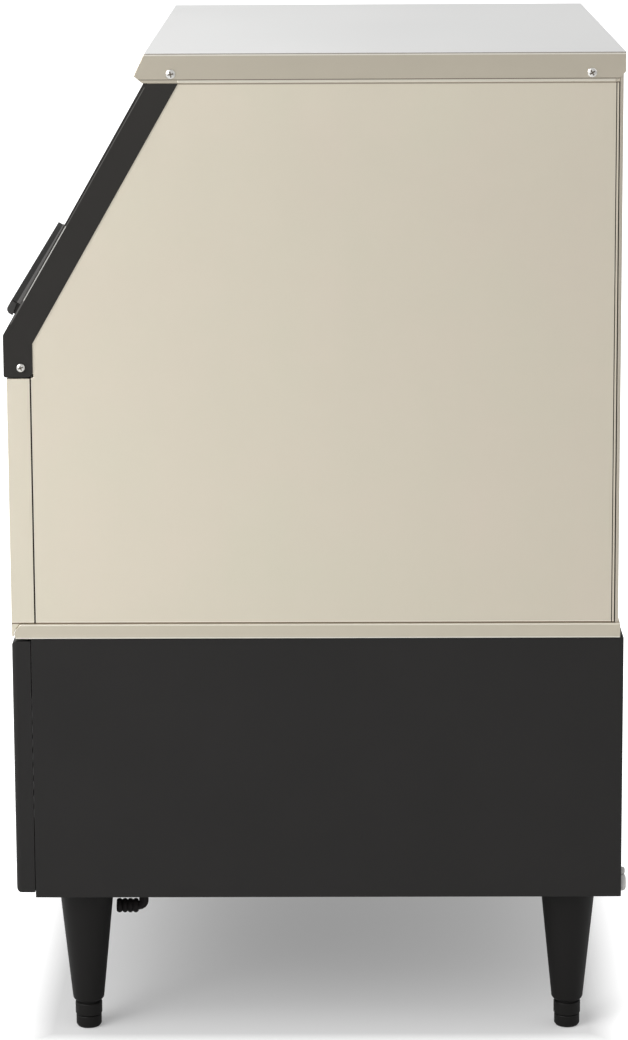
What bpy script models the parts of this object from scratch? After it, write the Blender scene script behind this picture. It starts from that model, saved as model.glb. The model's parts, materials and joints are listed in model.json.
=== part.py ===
"""Undercounter ice maker: insulated bin and ice plate on a machinery base with four levelling legs.

Metres, +Z up, -Y the front (door) side, origin on the floor at the middle of the machine's box.
Depths named *_D are measured backwards from the front plane of the door frame.
"""

import math

import bmesh
import bpy
from mathutils import Matrix, Vector

# Overall sizes
WIDTH = 0.610
HEIGHT = 0.9906
LEG_HEIGHT = 0.1515
BASE_HIGH = 0.2653
HALF = WIDTH / 2

# Clearances
TOUCH = 0.0003
SLACK = 0.0015
OVERRUN = 0.010

# Sheet and moulding walls
SHEET = 0.0012
HEM = 0.0017
BASE_SHEET = 0.0015
WALL = 0.0030

# Side view stations behind the door frame's front plane
BODY_BACK_D = 0.5982
BASE_BACK_STEP = 0.0036
PANEL_BACK_STEP = 0.0056
PANEL_SEAM_D = 0.0260
FACE_D = 0.0025

# Cap with its slanted fascia
CAP_FRONT_D = 0.1400
CAP_NOSE_REACH = 0.0104
CAP_LIP_REACH = 0.0020
CAP_SKIRT = 0.0286
CAP_NOSE_DROP = 0.0219
CAP_BACK_DROP = 0.0192
CAP_CORNER = 0.0090

# Slanted door frame
SLOPE_TOP_REACH = 0.0014
SLOPE_TOP_DROP = 0.0292
SLOPE_HIGH = 0.2424
FRAME_FOOT_HIGH = 0.0414
FRAME_DEPTH = 0.0288
FRAME_TOP_RAIL = 0.0085
FRAME_FOOT_BAR = 0.01523
FRAME_SIDE_BAR = 0.0330
FRAME_SOLID_TOP = 0.0450
FRAME_CORNER_FRONT = 0.0020
FRAME_CORNER_BACK = 0.0050
SCOOP_SIDE_GAP = 0.1250
SCOOP_DEPTH = 0.0160
SCOOP_FOOT = 0.0130

# Door
DOOR_FACE = 0.0020
DOOR_THICK = 0.0220
DOOR_TOP = 0.0120
DOOR_GAP = 0.0020
DOOR_LINER = 0.0027
GASKET_WIDTH = 0.0100
GASKET_INSET = 0.0070
GASKET_TOP = 0.0310
GASKET_FOOT_INSET = 0.0060
PIN_RADIUS = 0.0030
PIN_BEARING = 0.0120

# Handle
HANDLE_HIGH = 0.0112
HANDLE_RISE = 0.0094
HANDLE_OVERHANG = 0.0021
HANDLE_LIFT = 0.0018
HANDLE_ROUND = 0.0050
HANDLE_WALL = 0.0030

# Belt and deck
BELT_HIGH = 0.0148
BELT_TOP_D = 0.0112
BELT_EDGE_D = 0.0064
BELT_NOSE_D = 0.0050
BELT_NOSE_SHARE = 0.32
BELT_EDGE_SHARE = 0.62
BELT_BEAD = 0.0060

# Front panel
FRONT_LIP = 0.0022

# Bin
BIN_SIDE_WALL = 0.0430
BIN_FLOOR_RISE = 0.0532
BIN_ROOF = 0.0426
BIN_FRONT_D = 0.0440
BIN_BACK_WALL = 0.0502
LINER = 0.0025
DOORWAY_TOP = 0.0450
DOORWAY_FOOT_RISE = 0.0200
DOORWAY_INSET = 0.0130
FLANGE_INSET = 0.0060
FLANGE_TOP = -0.0020
FLANGE_FOOT_DROP = 0.0080
ROOF_FLANGE = 0.0120

# Screws
SCREW_HEAD = 0.0048
FRAME_SCREW_HEAD = 0.0042
SCREW_HEAD_HIGH = 0.0024
SCREW_SHANK = 0.0020
SCREW_LONG = 0.0100
SCREW_RECESS_LONG = 0.0050
SCREW_RECESS_WIDE = 0.0011
SCREW_RECESS_DEEP = 0.0010
CAP_SCREW_FRONT_GAP = 0.0250
CAP_SCREW_BACK_GAP = 0.0322
CAP_SCREW_DROP = 0.0200
FRAME_SCREW_D = 0.0168
FRAME_SCREW_RISE = 0.0096

# Base
BASE_INSET = 0.0015
BASE_SIDE_D = 0.0210
KICK_D = 0.0020
KICK_DEEP = 0.0185
KICK_FOOT_RISE = 0.0055
KICK_ROUND = 0.0050
KICK_TOP_GAP = 0.0025
BASE_FLANGE = 0.0150
PAN_RISE = 0.0020
PAN_RIM = 0.0200

# Front grille
GRILLE_SIDE_GAP = 0.0650
GRILLE_FOOT_RISE = 0.0335
GRILLE_ROWS = 10
GRILLE_SLOT = 0.0090
GRILLE_SLANT = 0.0060
GRILLE_THICK = 0.0060
GRILLE_BARS = 2
GRILLE_BAR = 0.0100

# Legs and levelling feet
LEG_FRONT_D = 0.0680
LEG_BACK_INSET = 0.0496
LEG_INSET = 0.0480
LEG_TOP_RADIUS = 0.0280
LEG_FOOT_RADIUS = 0.0157
LEG_FOOT_Z = 0.0286
LEG_BORE = 0.0066
LEG_BORE_TOP_Z = 0.1000
STUD_RADIUS = 0.0048
STUD_HIGH = 0.0130
NUT_RADIUS = 0.0090
NUT_HIGH = 0.0090
FOOT_RADIUS = 0.0128
FOOT_FLAT = 0.0100
FOOT_ROUND = 0.0026
FOOT_HIGH = 0.0120
COLLAR_RADIUS = 0.0135
COLLAR_HIGH = 0.0125
COLLAR_TOP_Z = 0.0258
GROOVE_RADIUS = 0.0112
STEM_RADIUS = 0.0060
STEM_TOP_Z = 0.0850

# Drain below the base
DRAIN_SIDE_GAP = 0.0700
DRAIN_BACK_D = 0.1240
DRAIN_FRONT_D = 0.0965
DRAIN_DROP = 0.0325
DRAIN_CAP_LONG = 0.0220
DRAIN_CAP_RADIUS = 0.0072
DRAIN_CAP_GROOVE = 0.0009
DRAIN_CAP_RINGS = 4
DRAIN_TUBE = 0.0048
DRAIN_BORE = 0.0030
DRAIN_BEND = 0.0052

# Rear spacers
SPACER_X_INSET = 0.0135
SPACER_REACH = 0.0054
SPACER_RADIUS = 0.0086
SPACER_RISE = 0.0105
SPACER_SMALL_RADIUS = 0.0038
SPACER_SMALL_RISE = 0.0118

# Cooling machinery
COND_SIDE_GAP = 0.0750
COND_RIGHT_X = 0.0300
COND_FRONT_D = 0.0450
COND_DEEP = 0.0400
COND_HEADROOM = 0.0453
COND_FINS = 13
COND_FIN_GAP = 0.0040
COND_FIN_DEEP = 0.0080
SHROUD_DEEP = 0.0300
SPIDER_WIDE = 0.0120
SPIDER_THICK = 0.0040
ROTOR_GAP = 0.0080
ROTOR_HUB = 0.0220
ROTOR_DEEP = 0.0160
BLADE_COUNT = 5
BLADE_THICK = 0.0020
BLADE_TWIST = 28.0
FAN_MOTOR_RADIUS = 0.0360
FAN_MOTOR_LONG = 0.0480
FAN_SHAFT = 0.0040
COMP_SIDE_GAP = 0.1500
COMP_BACK_GAP = 0.2718
COMP_RADIUS = 0.0800
COMP_HEADROOM = 0.0853
COMP_PLATE = 0.0040
COMP_PLATE_HALF = 0.0950
COMP_DISCHARGE_SHARE = 0.38
COMP_SUCTION_SHARE = 0.24
DRIER_RADIUS = 0.0110
DRIER_LONG = 0.0900
DRIER_SIDE_GAP = 0.1550
DRIER_D = 0.2400
DRIER_RISE = 0.0585
DRIER_NECK = 0.0050
DRIER_LOOP = 0.0240
DISCHARGE_RADIUS = 0.0040
LIQUID_RADIUS = 0.0035
SUCTION_RADIUS = 0.0060
RISER_BACK_GAP = 0.0257
RISER_INSET = 0.0550
TUBE_BEND = 0.0180

# Controls, inlets and outlets
BOX_WIDE = 0.1450
BOX_SIDE_GAP = 0.0300
BOX_DEEP = 0.0900
BOX_DROP = 0.0688
BOX_HIGH = 0.0600
SWITCH_SIDE_GAP = 0.0950
SWITCH_DROP = 0.0368
SWITCH_WIDE = 0.0150
SWITCH_HIGH = 0.0240
SWITCH_DEEP = 0.0110
SWITCH_PROUD = 0.0020
GLAND_SIDE_GAP = 0.0850
GLAND_RISE = 0.1485
GLAND_RADIUS = 0.0110
GLAND_BORE = 0.0045
GLAND_PROUD = 0.0030
GLAND_FLANGE = 0.0150
VALVE_SIDE_GAP = 0.0850
VALVE_RISE = 0.1485
VALVE_BODY = 0.0180
VALVE_LONG = 0.0500
VALVE_COIL = 0.0150
VALVE_NIPPLE = 0.0095
VALVE_BORE = 0.0060
BIN_DRAIN_SIDE_GAP = 0.1450
BIN_DRAIN_BACK_GAP = 0.0880
BIN_DRAIN_RADIUS = 0.0110
BIN_DRAIN_BORE = 0.0085
BIN_DRAIN_FLANGE = 0.0200
BIN_DRAIN_THICK = 0.0020
BIN_DRAIN_DROP = 0.0668
VENT_ROWS = 6
VENT_PITCH = 0.0140
VENT_HIGH = 0.0060
VENT_HALF = 0.0900
VENT_FOOT_RISE = 0.0385

# Ice plate and its water system
PLATE_SIDE_GAP = 0.1650
PLATE_HEADROOM = 0.0630
PLATE_BACK_GAP = 0.0760
PLATE_THICK = 0.0180
CUP_DEEP = 0.0140
CUP_WALL = 0.0030
CUP_COLUMNS = 8
CUP_ROWS = 6
CHEEK = 0.0030
CHEEK_REACH = 0.0220
CHEEK_RISE = 0.0200
CHEEK_DROP = 0.0050
COIL_RADIUS = 0.0045
COIL_PASSES = 6
COIL_INSET = 0.0250
COIL_REACH = 0.0240
SPRAY_RADIUS = 0.0080
SPRAY_BORE = 0.0060
SPRAY_RISE = 0.0130
SPRAY_REACH = 0.0020
CURTAIN_REACH = 0.0150
CURTAIN_THICK = 0.0025
CURTAIN_PIN = 0.0025
CURTAIN_SIDE_GAP = 0.0030
TROUGH_SIDE_GAP = 0.0700
TROUGH_END_GAP = 0.1550
TROUGH_DEEP = 0.0830
TROUGH_DROP = 0.0650
TROUGH_HIGH = 0.0520
TROUGH_WALL = 0.0025
PUMP_SIDE_GAP = 0.1150
PUMP_BACK_GAP = 0.0420
PUMP_MOTOR_RADIUS = 0.0230
PUMP_MOTOR_HIGH = 0.0600
PUMP_STEM = 0.0060
PUMP_BELL = 0.0180
PUMP_BELL_HIGH = 0.0200
PUMP_PLATE = 0.0030
PUMP_PLATE_HALF = 0.0270
FLOAT_SIDE_GAP = 0.2150
FLOAT_BACK_GAP = 0.0420
FLOAT_RADIUS = 0.0130
FLOAT_HIGH = 0.0180
FLOAT_ROD = 0.0030
FLOAT_BORE_GAP = 0.0008
FLOAT_STEP = 0.0030
FLOAT_TRAVEL = 0.0150

# Shapes as shares of the sizes that they follow
GRILLE_PITCH_SHARE = 0.05654
SHROUD_HOLE_SHARE = 0.43636
PLATE_HIGH_SHARE = 0.37657
SCREW_HEAD_SHARES = ((1.00, 0.00), (1.00, 0.45), (0.72, 1.00))
SCOOP_FLOOR_SHARE = 0.50
SCOOP_RISE_SHARE = 0.40
DRAIN_RING_SHARES = (0.25, 0.75)
SPACER_SHARES = ((1.00, 0.45), (0.70, 1.00))
BUTTON_SHARES = ((1.00, 0.50), (0.70, 0.85))
BLADE_ROOT_SHARE = 0.80
BLADE_CHORD_SHARE = 0.80
BLADE_TIP_SHARE = 1.35
BLADE_PITCH_SHARE = 1.30
FAN_MOTOR_SHARES = ((0.85, 0.00), (1.00, 0.12), (1.00, 0.88), (0.85, 1.00))
COMP_DOME_SHARES = (
    (0.86, 0.00),
    (1.00, 0.05),
    (1.00, 0.46),
    (1.05, 0.50),
    (1.00, 0.54),
    (0.93, 0.86),
    (0.66, 0.96),
    (0.00, 1.00),
)
DRIER_SHARES = ((1.00, -0.70), (1.00, 0.70))
SWITCH_SHARES = ((0.60, 0.00), (0.30, 0.80), (-0.90, 0.88), (-0.62, 0.00), (-0.50, -0.88), (0.30, -0.80))
VALVE_BODY_SHARE = 0.80
VALVE_COIL_SHARE = 0.60
COIL_BEND_SHARE = 0.90
PUMP_MOTOR_SHARES = ((0.80, 0.00), (1.00, 0.12), (1.00, 0.88), (0.70, 1.00))

# Facets of round pieces
ROUND_FINE = 20
ROUND_MID = 12
ROUND_LOW = 8
BEND_STEPS = 4
NOSE_STEPS = 5
NUT_SIDES = 6

# Derived heights
BELT_FOOT_Z = LEG_HEIGHT + BASE_HIGH
SLOPE_TOP_Z = HEIGHT - SLOPE_TOP_DROP
SLOPE_FOOT_Z = SLOPE_TOP_Z - SLOPE_HIGH
FRAME_FOOT_Z = SLOPE_FOOT_Z - FRAME_FOOT_HIGH
BIN_FLOOR_Z = BELT_FOOT_Z + BIN_FLOOR_RISE
BIN_TOP_Z = HEIGHT - BIN_ROOF
PLATE_HIGH = (BIN_TOP_Z - BIN_FLOOR_Z) * PLATE_HIGH_SHARE
PLATE_FOOT_Z = BIN_TOP_Z - PLATE_HEADROOM - PLATE_HIGH
TROUGH_FOOT_Z = PLATE_FOOT_Z - TROUGH_DROP
GRILLE_FOOT_Z = LEG_HEIGHT + GRILLE_FOOT_RISE
GRILLE_PITCH = BASE_HIGH * GRILLE_PITCH_SHARE
DRAIN_Z = LEG_HEIGHT - DRAIN_DROP
SPACER_Z = LEG_HEIGHT + SPACER_RISE
DRIER_Z = LEG_HEIGHT + DRIER_RISE
GLAND_Z = LEG_HEIGHT + GLAND_RISE
VALVE_Z = LEG_HEIGHT + VALVE_RISE
VENT_FOOT_Z = LEG_HEIGHT + VENT_FOOT_RISE
BOX_FOOT_Z = BELT_FOOT_Z - BOX_DROP
SWITCH_Z = BELT_FOOT_Z - SWITCH_DROP
BIN_DRAIN_OUT_Z = BELT_FOOT_Z - BIN_DRAIN_DROP
COND_HIGH = BASE_HIGH - COND_HEADROOM
COMP_HIGH = BASE_HIGH - COMP_HEADROOM
SHROUD_HOLE = COND_HIGH * SHROUD_HOLE_SHARE
ROTOR_RADIUS = SHROUD_HOLE - ROTOR_GAP

# Derived depths
BASE_BACK_D = BODY_BACK_D + BASE_BACK_STEP
PANEL_BACK_D = BODY_BACK_D - PANEL_BACK_STEP
CAP_NOSE_D = CAP_FRONT_D - CAP_NOSE_REACH
CAP_LIP_D = CAP_FRONT_D - CAP_LIP_REACH
CAP_SCREW_DS = (CAP_FRONT_D + CAP_SCREW_FRONT_GAP, BODY_BACK_D - CAP_SCREW_BACK_GAP)
SLOPE_TOP_D = CAP_FRONT_D - SLOPE_TOP_REACH
BIN_BACK_D = BODY_BACK_D - BIN_BACK_WALL
BIN_DRAIN_D = BIN_BACK_D - BIN_DRAIN_BACK_GAP
RISER_D = BODY_BACK_D - RISER_BACK_GAP
PLATE_FACE_D = BIN_BACK_D - PLATE_BACK_GAP
CHEEK_FRONT_D = PLATE_FACE_D - CHEEK_REACH
SPRAY_D = PLATE_FACE_D - SPRAY_REACH
CURTAIN_D = PLATE_FACE_D - CURTAIN_REACH
TROUGH_FRONT_D = BIN_BACK_D - TROUGH_DEEP
PUMP_D = BIN_BACK_D - PUMP_BACK_GAP
FLOAT_D = BIN_BACK_D - FLOAT_BACK_GAP
LEG_BACK_D = BASE_BACK_D - LEG_BACK_INSET
COMP_D = BASE_BACK_D - COMP_BACK_GAP

# Derived places across the width
FRAME_OPEN_HALF = HALF - FRAME_SIDE_BAR
SCOOP_HALF = HALF - SCOOP_SIDE_GAP
HANDLE_HALF = FRAME_OPEN_HALF - DOOR_GAP
BIN_HALF = HALF - BIN_SIDE_WALL
DOORWAY_HALF = BIN_HALF - DOORWAY_INSET
FLANGE_HALF = HALF - FLANGE_INSET
GRILLE_HALF = HALF - GRILLE_SIDE_GAP
DRAIN_X = HALF - DRAIN_SIDE_GAP
PLATE_HALF = HALF - PLATE_SIDE_GAP
COIL_HALF = PLATE_HALF - COIL_INSET
SUCTION_X = COIL_HALF - RISER_INSET
LIQUID_X = -SUCTION_X
TROUGH_LEFT_X = TROUGH_SIDE_GAP - HALF
TROUGH_RIGHT_X = HALF - TROUGH_END_GAP
PUMP_X = PUMP_SIDE_GAP - HALF
FLOAT_X = HALF - FLOAT_SIDE_GAP
BIN_DRAIN_X = BIN_DRAIN_SIDE_GAP - HALF
COND_LEFT_X = COND_SIDE_GAP - HALF
COMP_X = HALF - COMP_SIDE_GAP
DRIER_X = DRIER_SIDE_GAP - HALF
BOX_RIGHT_X = HALF - BOX_SIDE_GAP
BOX_LEFT_X = BOX_RIGHT_X - BOX_WIDE
SWITCH_X = HALF - SWITCH_SIDE_GAP
GLAND_X = GLAND_SIDE_GAP - HALF
VALVE_X = HALF - VALVE_SIDE_GAP

# Derived places on the slanted front
SLOPE_ANGLE = math.atan2(SLOPE_TOP_D, SLOPE_HIGH)
FRAME_OPEN_FOOT = math.hypot(SLOPE_TOP_D, SLOPE_HIGH) - FRAME_FOOT_BAR
DOOR_FOOT = FRAME_OPEN_FOOT - DOOR_GAP
GASKET_FOOT = DOOR_FOOT - GASKET_FOOT_INSET
DOORWAY_FOOT = DOOR_FOOT - DOORWAY_FOOT_RISE
FLANGE_FOOT = FRAME_OPEN_FOOT + FLANGE_FOOT_DROP
HANDLE_TOP = DOOR_FOOT - HANDLE_HIGH
HANDLE_NOSE = DOOR_FOOT + HANDLE_OVERHANG
PIVOT_S = DOOR_TOP + DOOR_THICK / 2
PIVOT_N = -(DOOR_FACE + DOOR_THICK / 2)
BACK_MOST_D = BASE_BACK_D + SPACER_REACH
# The frame's upright front is the foremost part, at depth 0.
MIDDLE_D = BACK_MOST_D / 2

# Derived seats and inner faces
PANEL_X = HALF - HEM - TOUCH
BASE_X = HALF - BASE_INSET
BASE_TOP_Z = BELT_FOOT_Z - TOUCH
DECK_Z = BELT_FOOT_Z + SHEET
BELT_TOP_Z = BELT_FOOT_Z + BELT_HIGH
PAN_FOOT_Z = LEG_HEIGHT + PAN_RISE
PAN_FLOOR_Z = PAN_FOOT_Z + BASE_SHEET
COND_FOOT_Z = PAN_FLOOR_Z + TOUCH
COMP_FOOT_Z = PAN_FLOOR_Z + TOUCH
ROOF_Z = HEIGHT - SHEET - TOUCH
FOAM_HALF = PANEL_X - SHEET - TOUCH
LEG_X = BASE_X - LEG_INSET
BACK_SHEET_D = BODY_BACK_D - HEM - TOUCH
SIDES = (("right", 1), ("left", -1))


def back(depth):
    """World Y of a depth behind the door frame's front plane."""
    return depth - MIDDLE_D


def on_slope(along, out):
    """Side view point (depth, height) of a place on the slanted front: down it and out of it."""
    sine, cosine = math.sin(SLOPE_ANGLE), math.cos(SLOPE_ANGLE)
    depth = SLOPE_TOP_D - sine * along - cosine * out
    height = SLOPE_TOP_Z - cosine * along + sine * out
    return depth, height


def slope_depth(height, out):
    """Depth of the slanted plane that lies out from the front plane, at a height."""
    slant = math.tan(SLOPE_ANGLE)
    return SLOPE_TOP_D - slant * (SLOPE_TOP_Z - height) - out / math.cos(SLOPE_ANGLE)


def slope_height(depth, out):
    """Height of the slanted plane that lies out from the front plane, at a depth."""
    slant = math.tan(SLOPE_ANGLE)
    return SLOPE_TOP_Z - (SLOPE_TOP_D - depth - out / math.cos(SLOPE_ANGLE)) / slant


# Making and joining solids


def clear_scene():
    for item in list(bpy.data.objects):
        bpy.data.objects.remove(item, do_unlink=True)


def material(name, colour, roughness, metallic):
    made = bpy.data.materials.new(name)
    made.use_nodes = True
    shader = made.node_tree.nodes["Principled BSDF"]
    shader.inputs["Base Color"].default_value = (*colour, 1.0)
    shader.inputs["Roughness"].default_value = roughness
    shader.inputs["Metallic"].default_value = metallic
    return made


def from_bmesh(name, shape):
    bmesh.ops.recalc_face_normals(shape, faces=shape.faces)
    mesh = bpy.data.meshes.new(name)
    shape.to_mesh(mesh)
    shape.free()
    made = bpy.data.objects.new(name, mesh)
    bpy.context.scene.collection.objects.link(made)
    return made


def prism(name, outline, low_x, high_x):
    """A side view outline of (depth, height) points, carried across from low_x to high_x."""
    shape = bmesh.new()
    corners = [shape.verts.new((low_x, back(depth), height)) for depth, height in outline]
    face = shape.faces.new(corners)
    grown = bmesh.ops.extrude_face_region(shape, geom=[face])
    moved = [item for item in grown["geom"] if isinstance(item, bmesh.types.BMVert)]
    bmesh.ops.translate(shape, verts=moved, vec=(high_x - low_x, 0, 0))
    return from_bmesh(name, shape)


def block(name, low_x, high_x, front, rear, foot, top):
    outline = [(front, foot), (rear, foot), (rear, top), (front, top)]
    return prism(name, outline, low_x, high_x)


def slope_prism(name, outline, low_x, high_x):
    return prism(name, [on_slope(along, out) for along, out in outline], low_x, high_x)


AXIS_TURNS = {
    "Z": Matrix.Identity(4),
    "X": Matrix.Rotation(math.radians(90), 4, "Y"),
    "Y": Matrix.Rotation(math.radians(-90), 4, "X"),
}


def turned(name, profile, centre, axis="Z", sides=ROUND_MID, ring=False):
    """A turned solid from (radius, height) points, up its outside; ring closes it round a bore."""
    shape = bmesh.new()
    rows = []
    for radius, height in profile:
        if radius == 0:
            rows.append([shape.verts.new((0, 0, height))])
            continue
        angles = [2 * math.pi * step / sides for step in range(sides)]
        rows.append([shape.verts.new((radius * math.cos(a), radius * math.sin(a), height)) for a in angles])
    pairs = list(zip(rows, rows[1:]))
    if ring:
        pairs.append((rows[-1], rows[0]))
    for lower, upper in pairs:
        skin_rows(shape, lower, upper)
    if not ring:
        for row in (rows[0], rows[-1]):
            if len(row) > 1:
                shape.faces.new(row)
    bmesh.ops.transform(shape, matrix=AXIS_TURNS[axis], verts=shape.verts)
    made = from_bmesh(name, shape)
    made.location = centre
    return made


def skin_rows(shape, lower, upper):
    count = max(len(lower), len(upper))
    for step in range(count):
        after = (step + 1) % count
        corners = [lower[step % len(lower)]]
        if len(lower) > 1:
            corners.append(lower[after])
        if len(upper) > 1:
            corners.append(upper[after])
        corners.append(upper[step % len(upper)])
        if len(corners) > 2:
            shape.faces.new(corners)


def rod(name, radius, centre, low, high, axis="Z", sides=ROUND_MID):
    return turned(name, [(radius, low), (radius, high)], centre, axis, sides)


def hole(radius, centre, low, high, axis="Z", sides=ROUND_MID):
    """Cutter for a round way whose flats, not its corners, lie at the radius."""
    return rod("hole", radius / math.cos(math.pi / sides), centre, low, high, axis, sides)


def rounded_path(corners, bend, steps=BEND_STEPS):
    """Points along straight runs joined by round bends."""
    corners = [Vector(corner) for corner in corners]
    path = [corners[0]]
    for before, corner, after in zip(corners, corners[1:], corners[2:]):
        inward, outward = (before - corner).normalized(), (after - corner).normalized()
        half = inward.angle(outward) / 2
        reach = bend / math.tan(half)
        middle = corner + (inward + outward).normalized() * (bend / math.sin(half))
        first, last = corner + inward * reach - middle, corner + outward * reach - middle
        swing = first.angle(last)
        for step in range(steps + 1):
            share = step / steps
            spoke = first * math.sin((1 - share) * swing) + last * math.sin(share * swing)
            path.append(middle + spoke / math.sin(swing))
    path.append(corners[-1])
    return path


def swept(name, path, radius, bore=0, sides=ROUND_LOW):
    """A round tube or rod along a path."""
    shape = bmesh.new()
    path = [Vector(point) for point in path]
    ahead = (path[1] - path[0]).normalized()
    side = ahead.orthogonal().normalized()
    outer_rows, inner_rows = [], []
    for index, point in enumerate(path):
        before = path[max(index - 1, 0)]
        after = path[min(index + 1, len(path) - 1)]
        heading = (after - before).normalized()
        side = (ahead.rotation_difference(heading) @ side).normalized()
        ahead = heading
        up = ahead.cross(side)
        spokes = []
        for step in range(sides):
            angle = 2 * math.pi * step / sides
            spokes.append(side * math.cos(angle) + up * math.sin(angle))
        outer_rows.append([shape.verts.new(point + spoke * radius) for spoke in spokes])
        if bore:
            inner_rows.append([shape.verts.new(point + spoke * bore) for spoke in spokes])
    for rows in (outer_rows, inner_rows):
        for lower, upper in zip(rows, rows[1:]):
            skin_rows(shape, lower, upper)
    for end in (0, -1):
        if bore:
            skin_rows(shape, outer_rows[end], inner_rows[end])
        else:
            shape.faces.new(outer_rows[end])
    return from_bmesh(name, shape)


def combine(target, tool, operation):
    bpy.context.view_layer.update()
    step = target.modifiers.new(operation.lower(), "BOOLEAN")
    step.solver = "EXACT"
    step.operation = operation
    step.object = tool
    bpy.context.view_layer.objects.active = target
    bpy.ops.object.modifier_apply(modifier=step.name)
    bpy.data.objects.remove(tool, do_unlink=True)


def cut(target, *tools):
    for tool in tools:
        combine(target, tool, "DIFFERENCE")
    return target


def join(target, *tools):
    for tool in tools:
        combine(target, tool, "UNION")
    return target


def fillet(outline, radii, steps=3):
    """Rounds corners of a closed outline; radii maps a corner's index to its radius."""
    points = []
    count = len(outline)
    for index, corner in enumerate(outline):
        radius = radii.get(index, 0)
        if not radius:
            points.append(corner)
            continue
        here = Vector(corner)
        before, after = Vector(outline[index - 1]), Vector(outline[(index + 1) % count])
        inward, outward = (before - here).normalized(), (after - here).normalized()
        half = inward.angle(outward) / 2
        middle = here + (inward + outward).normalized() * (radius / math.sin(half))
        first = here + inward * (radius / math.tan(half)) - middle
        last = here + outward * (radius / math.tan(half)) - middle
        swing = first.angle_signed(last)
        for step in range(steps + 1):
            turn = Matrix.Rotation(-swing * step / steps, 2)
            points.append(tuple(middle + turn @ first))
    return points


def settle(made, look, origin=None, smooth=False):
    """Gives a solid its material and puts its origin at a point."""
    made.data.materials.clear()
    made.data.materials.append(look)
    if origin is not None:
        shift = Vector(origin) - made.location
        made.data.transform(Matrix.Translation(-shift))
        made.location = origin
    if smooth:
        made.data.shade_smooth()
        made.data.set_sharp_from_angle(angle=math.radians(35))
    return made


# Cabinet shell


def top_panel(looks):
    """Cap with a slanted fascia, side flanges and a return under the fascia's tip; open below."""
    nose_z, lip_z = HEIGHT - CAP_NOSE_DROP, HEIGHT - CAP_SKIRT
    outline = [
        (CAP_FRONT_D, HEIGHT),
        (CAP_NOSE_D, nose_z),
        (CAP_LIP_D, lip_z),
        (BODY_BACK_D - CAP_CORNER, lip_z),
        (BODY_BACK_D, HEIGHT - CAP_BACK_DROP),
        (BODY_BACK_D, HEIGHT),
    ]
    hollow = [
        (CAP_FRONT_D + SHEET, HEIGHT - SHEET),
        (CAP_NOSE_D + SHEET + TOUCH, nose_z),
        (CAP_LIP_D + SHEET, lip_z + SHEET),
        (CAP_LIP_D + 2 * SHEET, lip_z - OVERRUN),
        (BODY_BACK_D - HEM, lip_z - OVERRUN),
        (BODY_BACK_D - HEM, HEIGHT - SHEET),
    ]
    made = prism("top_panel", outline, -HALF, HALF)
    cut(made, prism("hollow", hollow, -HALF + HEM, HALF - HEM))
    for depth in CAP_SCREW_DS:
        centre = (0, back(depth), HEIGHT - CAP_SCREW_DROP)
        cut(made, hole(SCREW_SHANK + TOUCH, centre, -WIDTH, WIDTH, "X", ROUND_LOW))
    return settle(made, looks["cap"])


def side_panel_outline():
    step_back_d = FRAME_DEPTH - TOUCH
    tab_front_d = WALL + TOUCH
    under_frame_z = FRAME_FOOT_Z - TOUCH
    tab_foot_z = FRAME_FOOT_Z + WALL + TOUCH
    slope_top_d = slope_depth(SLOPE_TOP_Z, -tab_front_d)
    return [
        (PANEL_SEAM_D, DECK_Z + TOUCH),
        (PANEL_BACK_D, DECK_Z + TOUCH),
        (PANEL_BACK_D, ROOF_Z),
        (slope_top_d, ROOF_Z),
        (slope_top_d, SLOPE_TOP_Z),
        (tab_front_d, slope_height(tab_front_d, -tab_front_d)),
        (tab_front_d, tab_foot_z),
        (step_back_d, tab_foot_z),
        (step_back_d, under_frame_z),
        (PANEL_SEAM_D, under_frame_z),
    ]


def side_panel(side, sign, looks):
    name = f"side_panel_{side}"
    outer, inner = sign * PANEL_X, sign * (PANEL_X - SHEET)
    made = prism(name, side_panel_outline(), min(outer, inner), max(outer, inner))
    edge = sign * (PANEL_X - ROOF_FLANGE)
    flange_front_d = slope_depth(SLOPE_TOP_Z, -WALL - TOUCH)
    flange = block(
        "flange", min(inner, edge), max(inner, edge), flange_front_d, PANEL_BACK_D, ROOF_Z - SHEET, ROOF_Z
    )
    join(made, flange)
    for depth in CAP_SCREW_DS:
        centre = (0, back(depth), HEIGHT - CAP_SCREW_DROP)
        cut(made, hole(SCREW_SHANK + TOUCH, centre, -WIDTH, WIDTH, "X", ROUND_LOW))
    centre = (0, back(FRAME_SCREW_D), FRAME_FOOT_Z + FRAME_SCREW_RISE)
    cut(made, hole(SCREW_SHANK + TOUCH, centre, -WIDTH, WIDTH, "X", ROUND_LOW))
    return settle(made, looks["stainless"])


def rear_panel(looks):
    """Rear sheet with short returns that meet the side panels and a flange under the cap."""
    made = block(
        "rear_panel", -PANEL_X, PANEL_X, PANEL_BACK_D + TOUCH, BACK_SHEET_D, DECK_Z + TOUCH, ROOF_Z
    )
    hollow = block(
        "hollow",
        -PANEL_X + SHEET,
        PANEL_X - SHEET,
        PANEL_BACK_D - OVERRUN,
        BACK_SHEET_D - SHEET,
        DECK_Z - OVERRUN,
        ROOF_Z + OVERRUN,
    )
    cut(made, hollow)
    return settle(made, looks["stainless"])


def belt_outline():
    nose_z = BELT_FOOT_Z + BELT_HIGH * BELT_NOSE_SHARE
    edge_z = BELT_FOOT_Z + BELT_HIGH * BELT_EDGE_SHARE
    return [
        (BELT_EDGE_D, BELT_FOOT_Z),
        (BODY_BACK_D, BELT_FOOT_Z),
        (BODY_BACK_D, BELT_TOP_Z),
        (BELT_TOP_D, BELT_TOP_Z),
        (BELT_EDGE_D, edge_z),
        (BELT_NOSE_D, nose_z),
    ]


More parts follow.
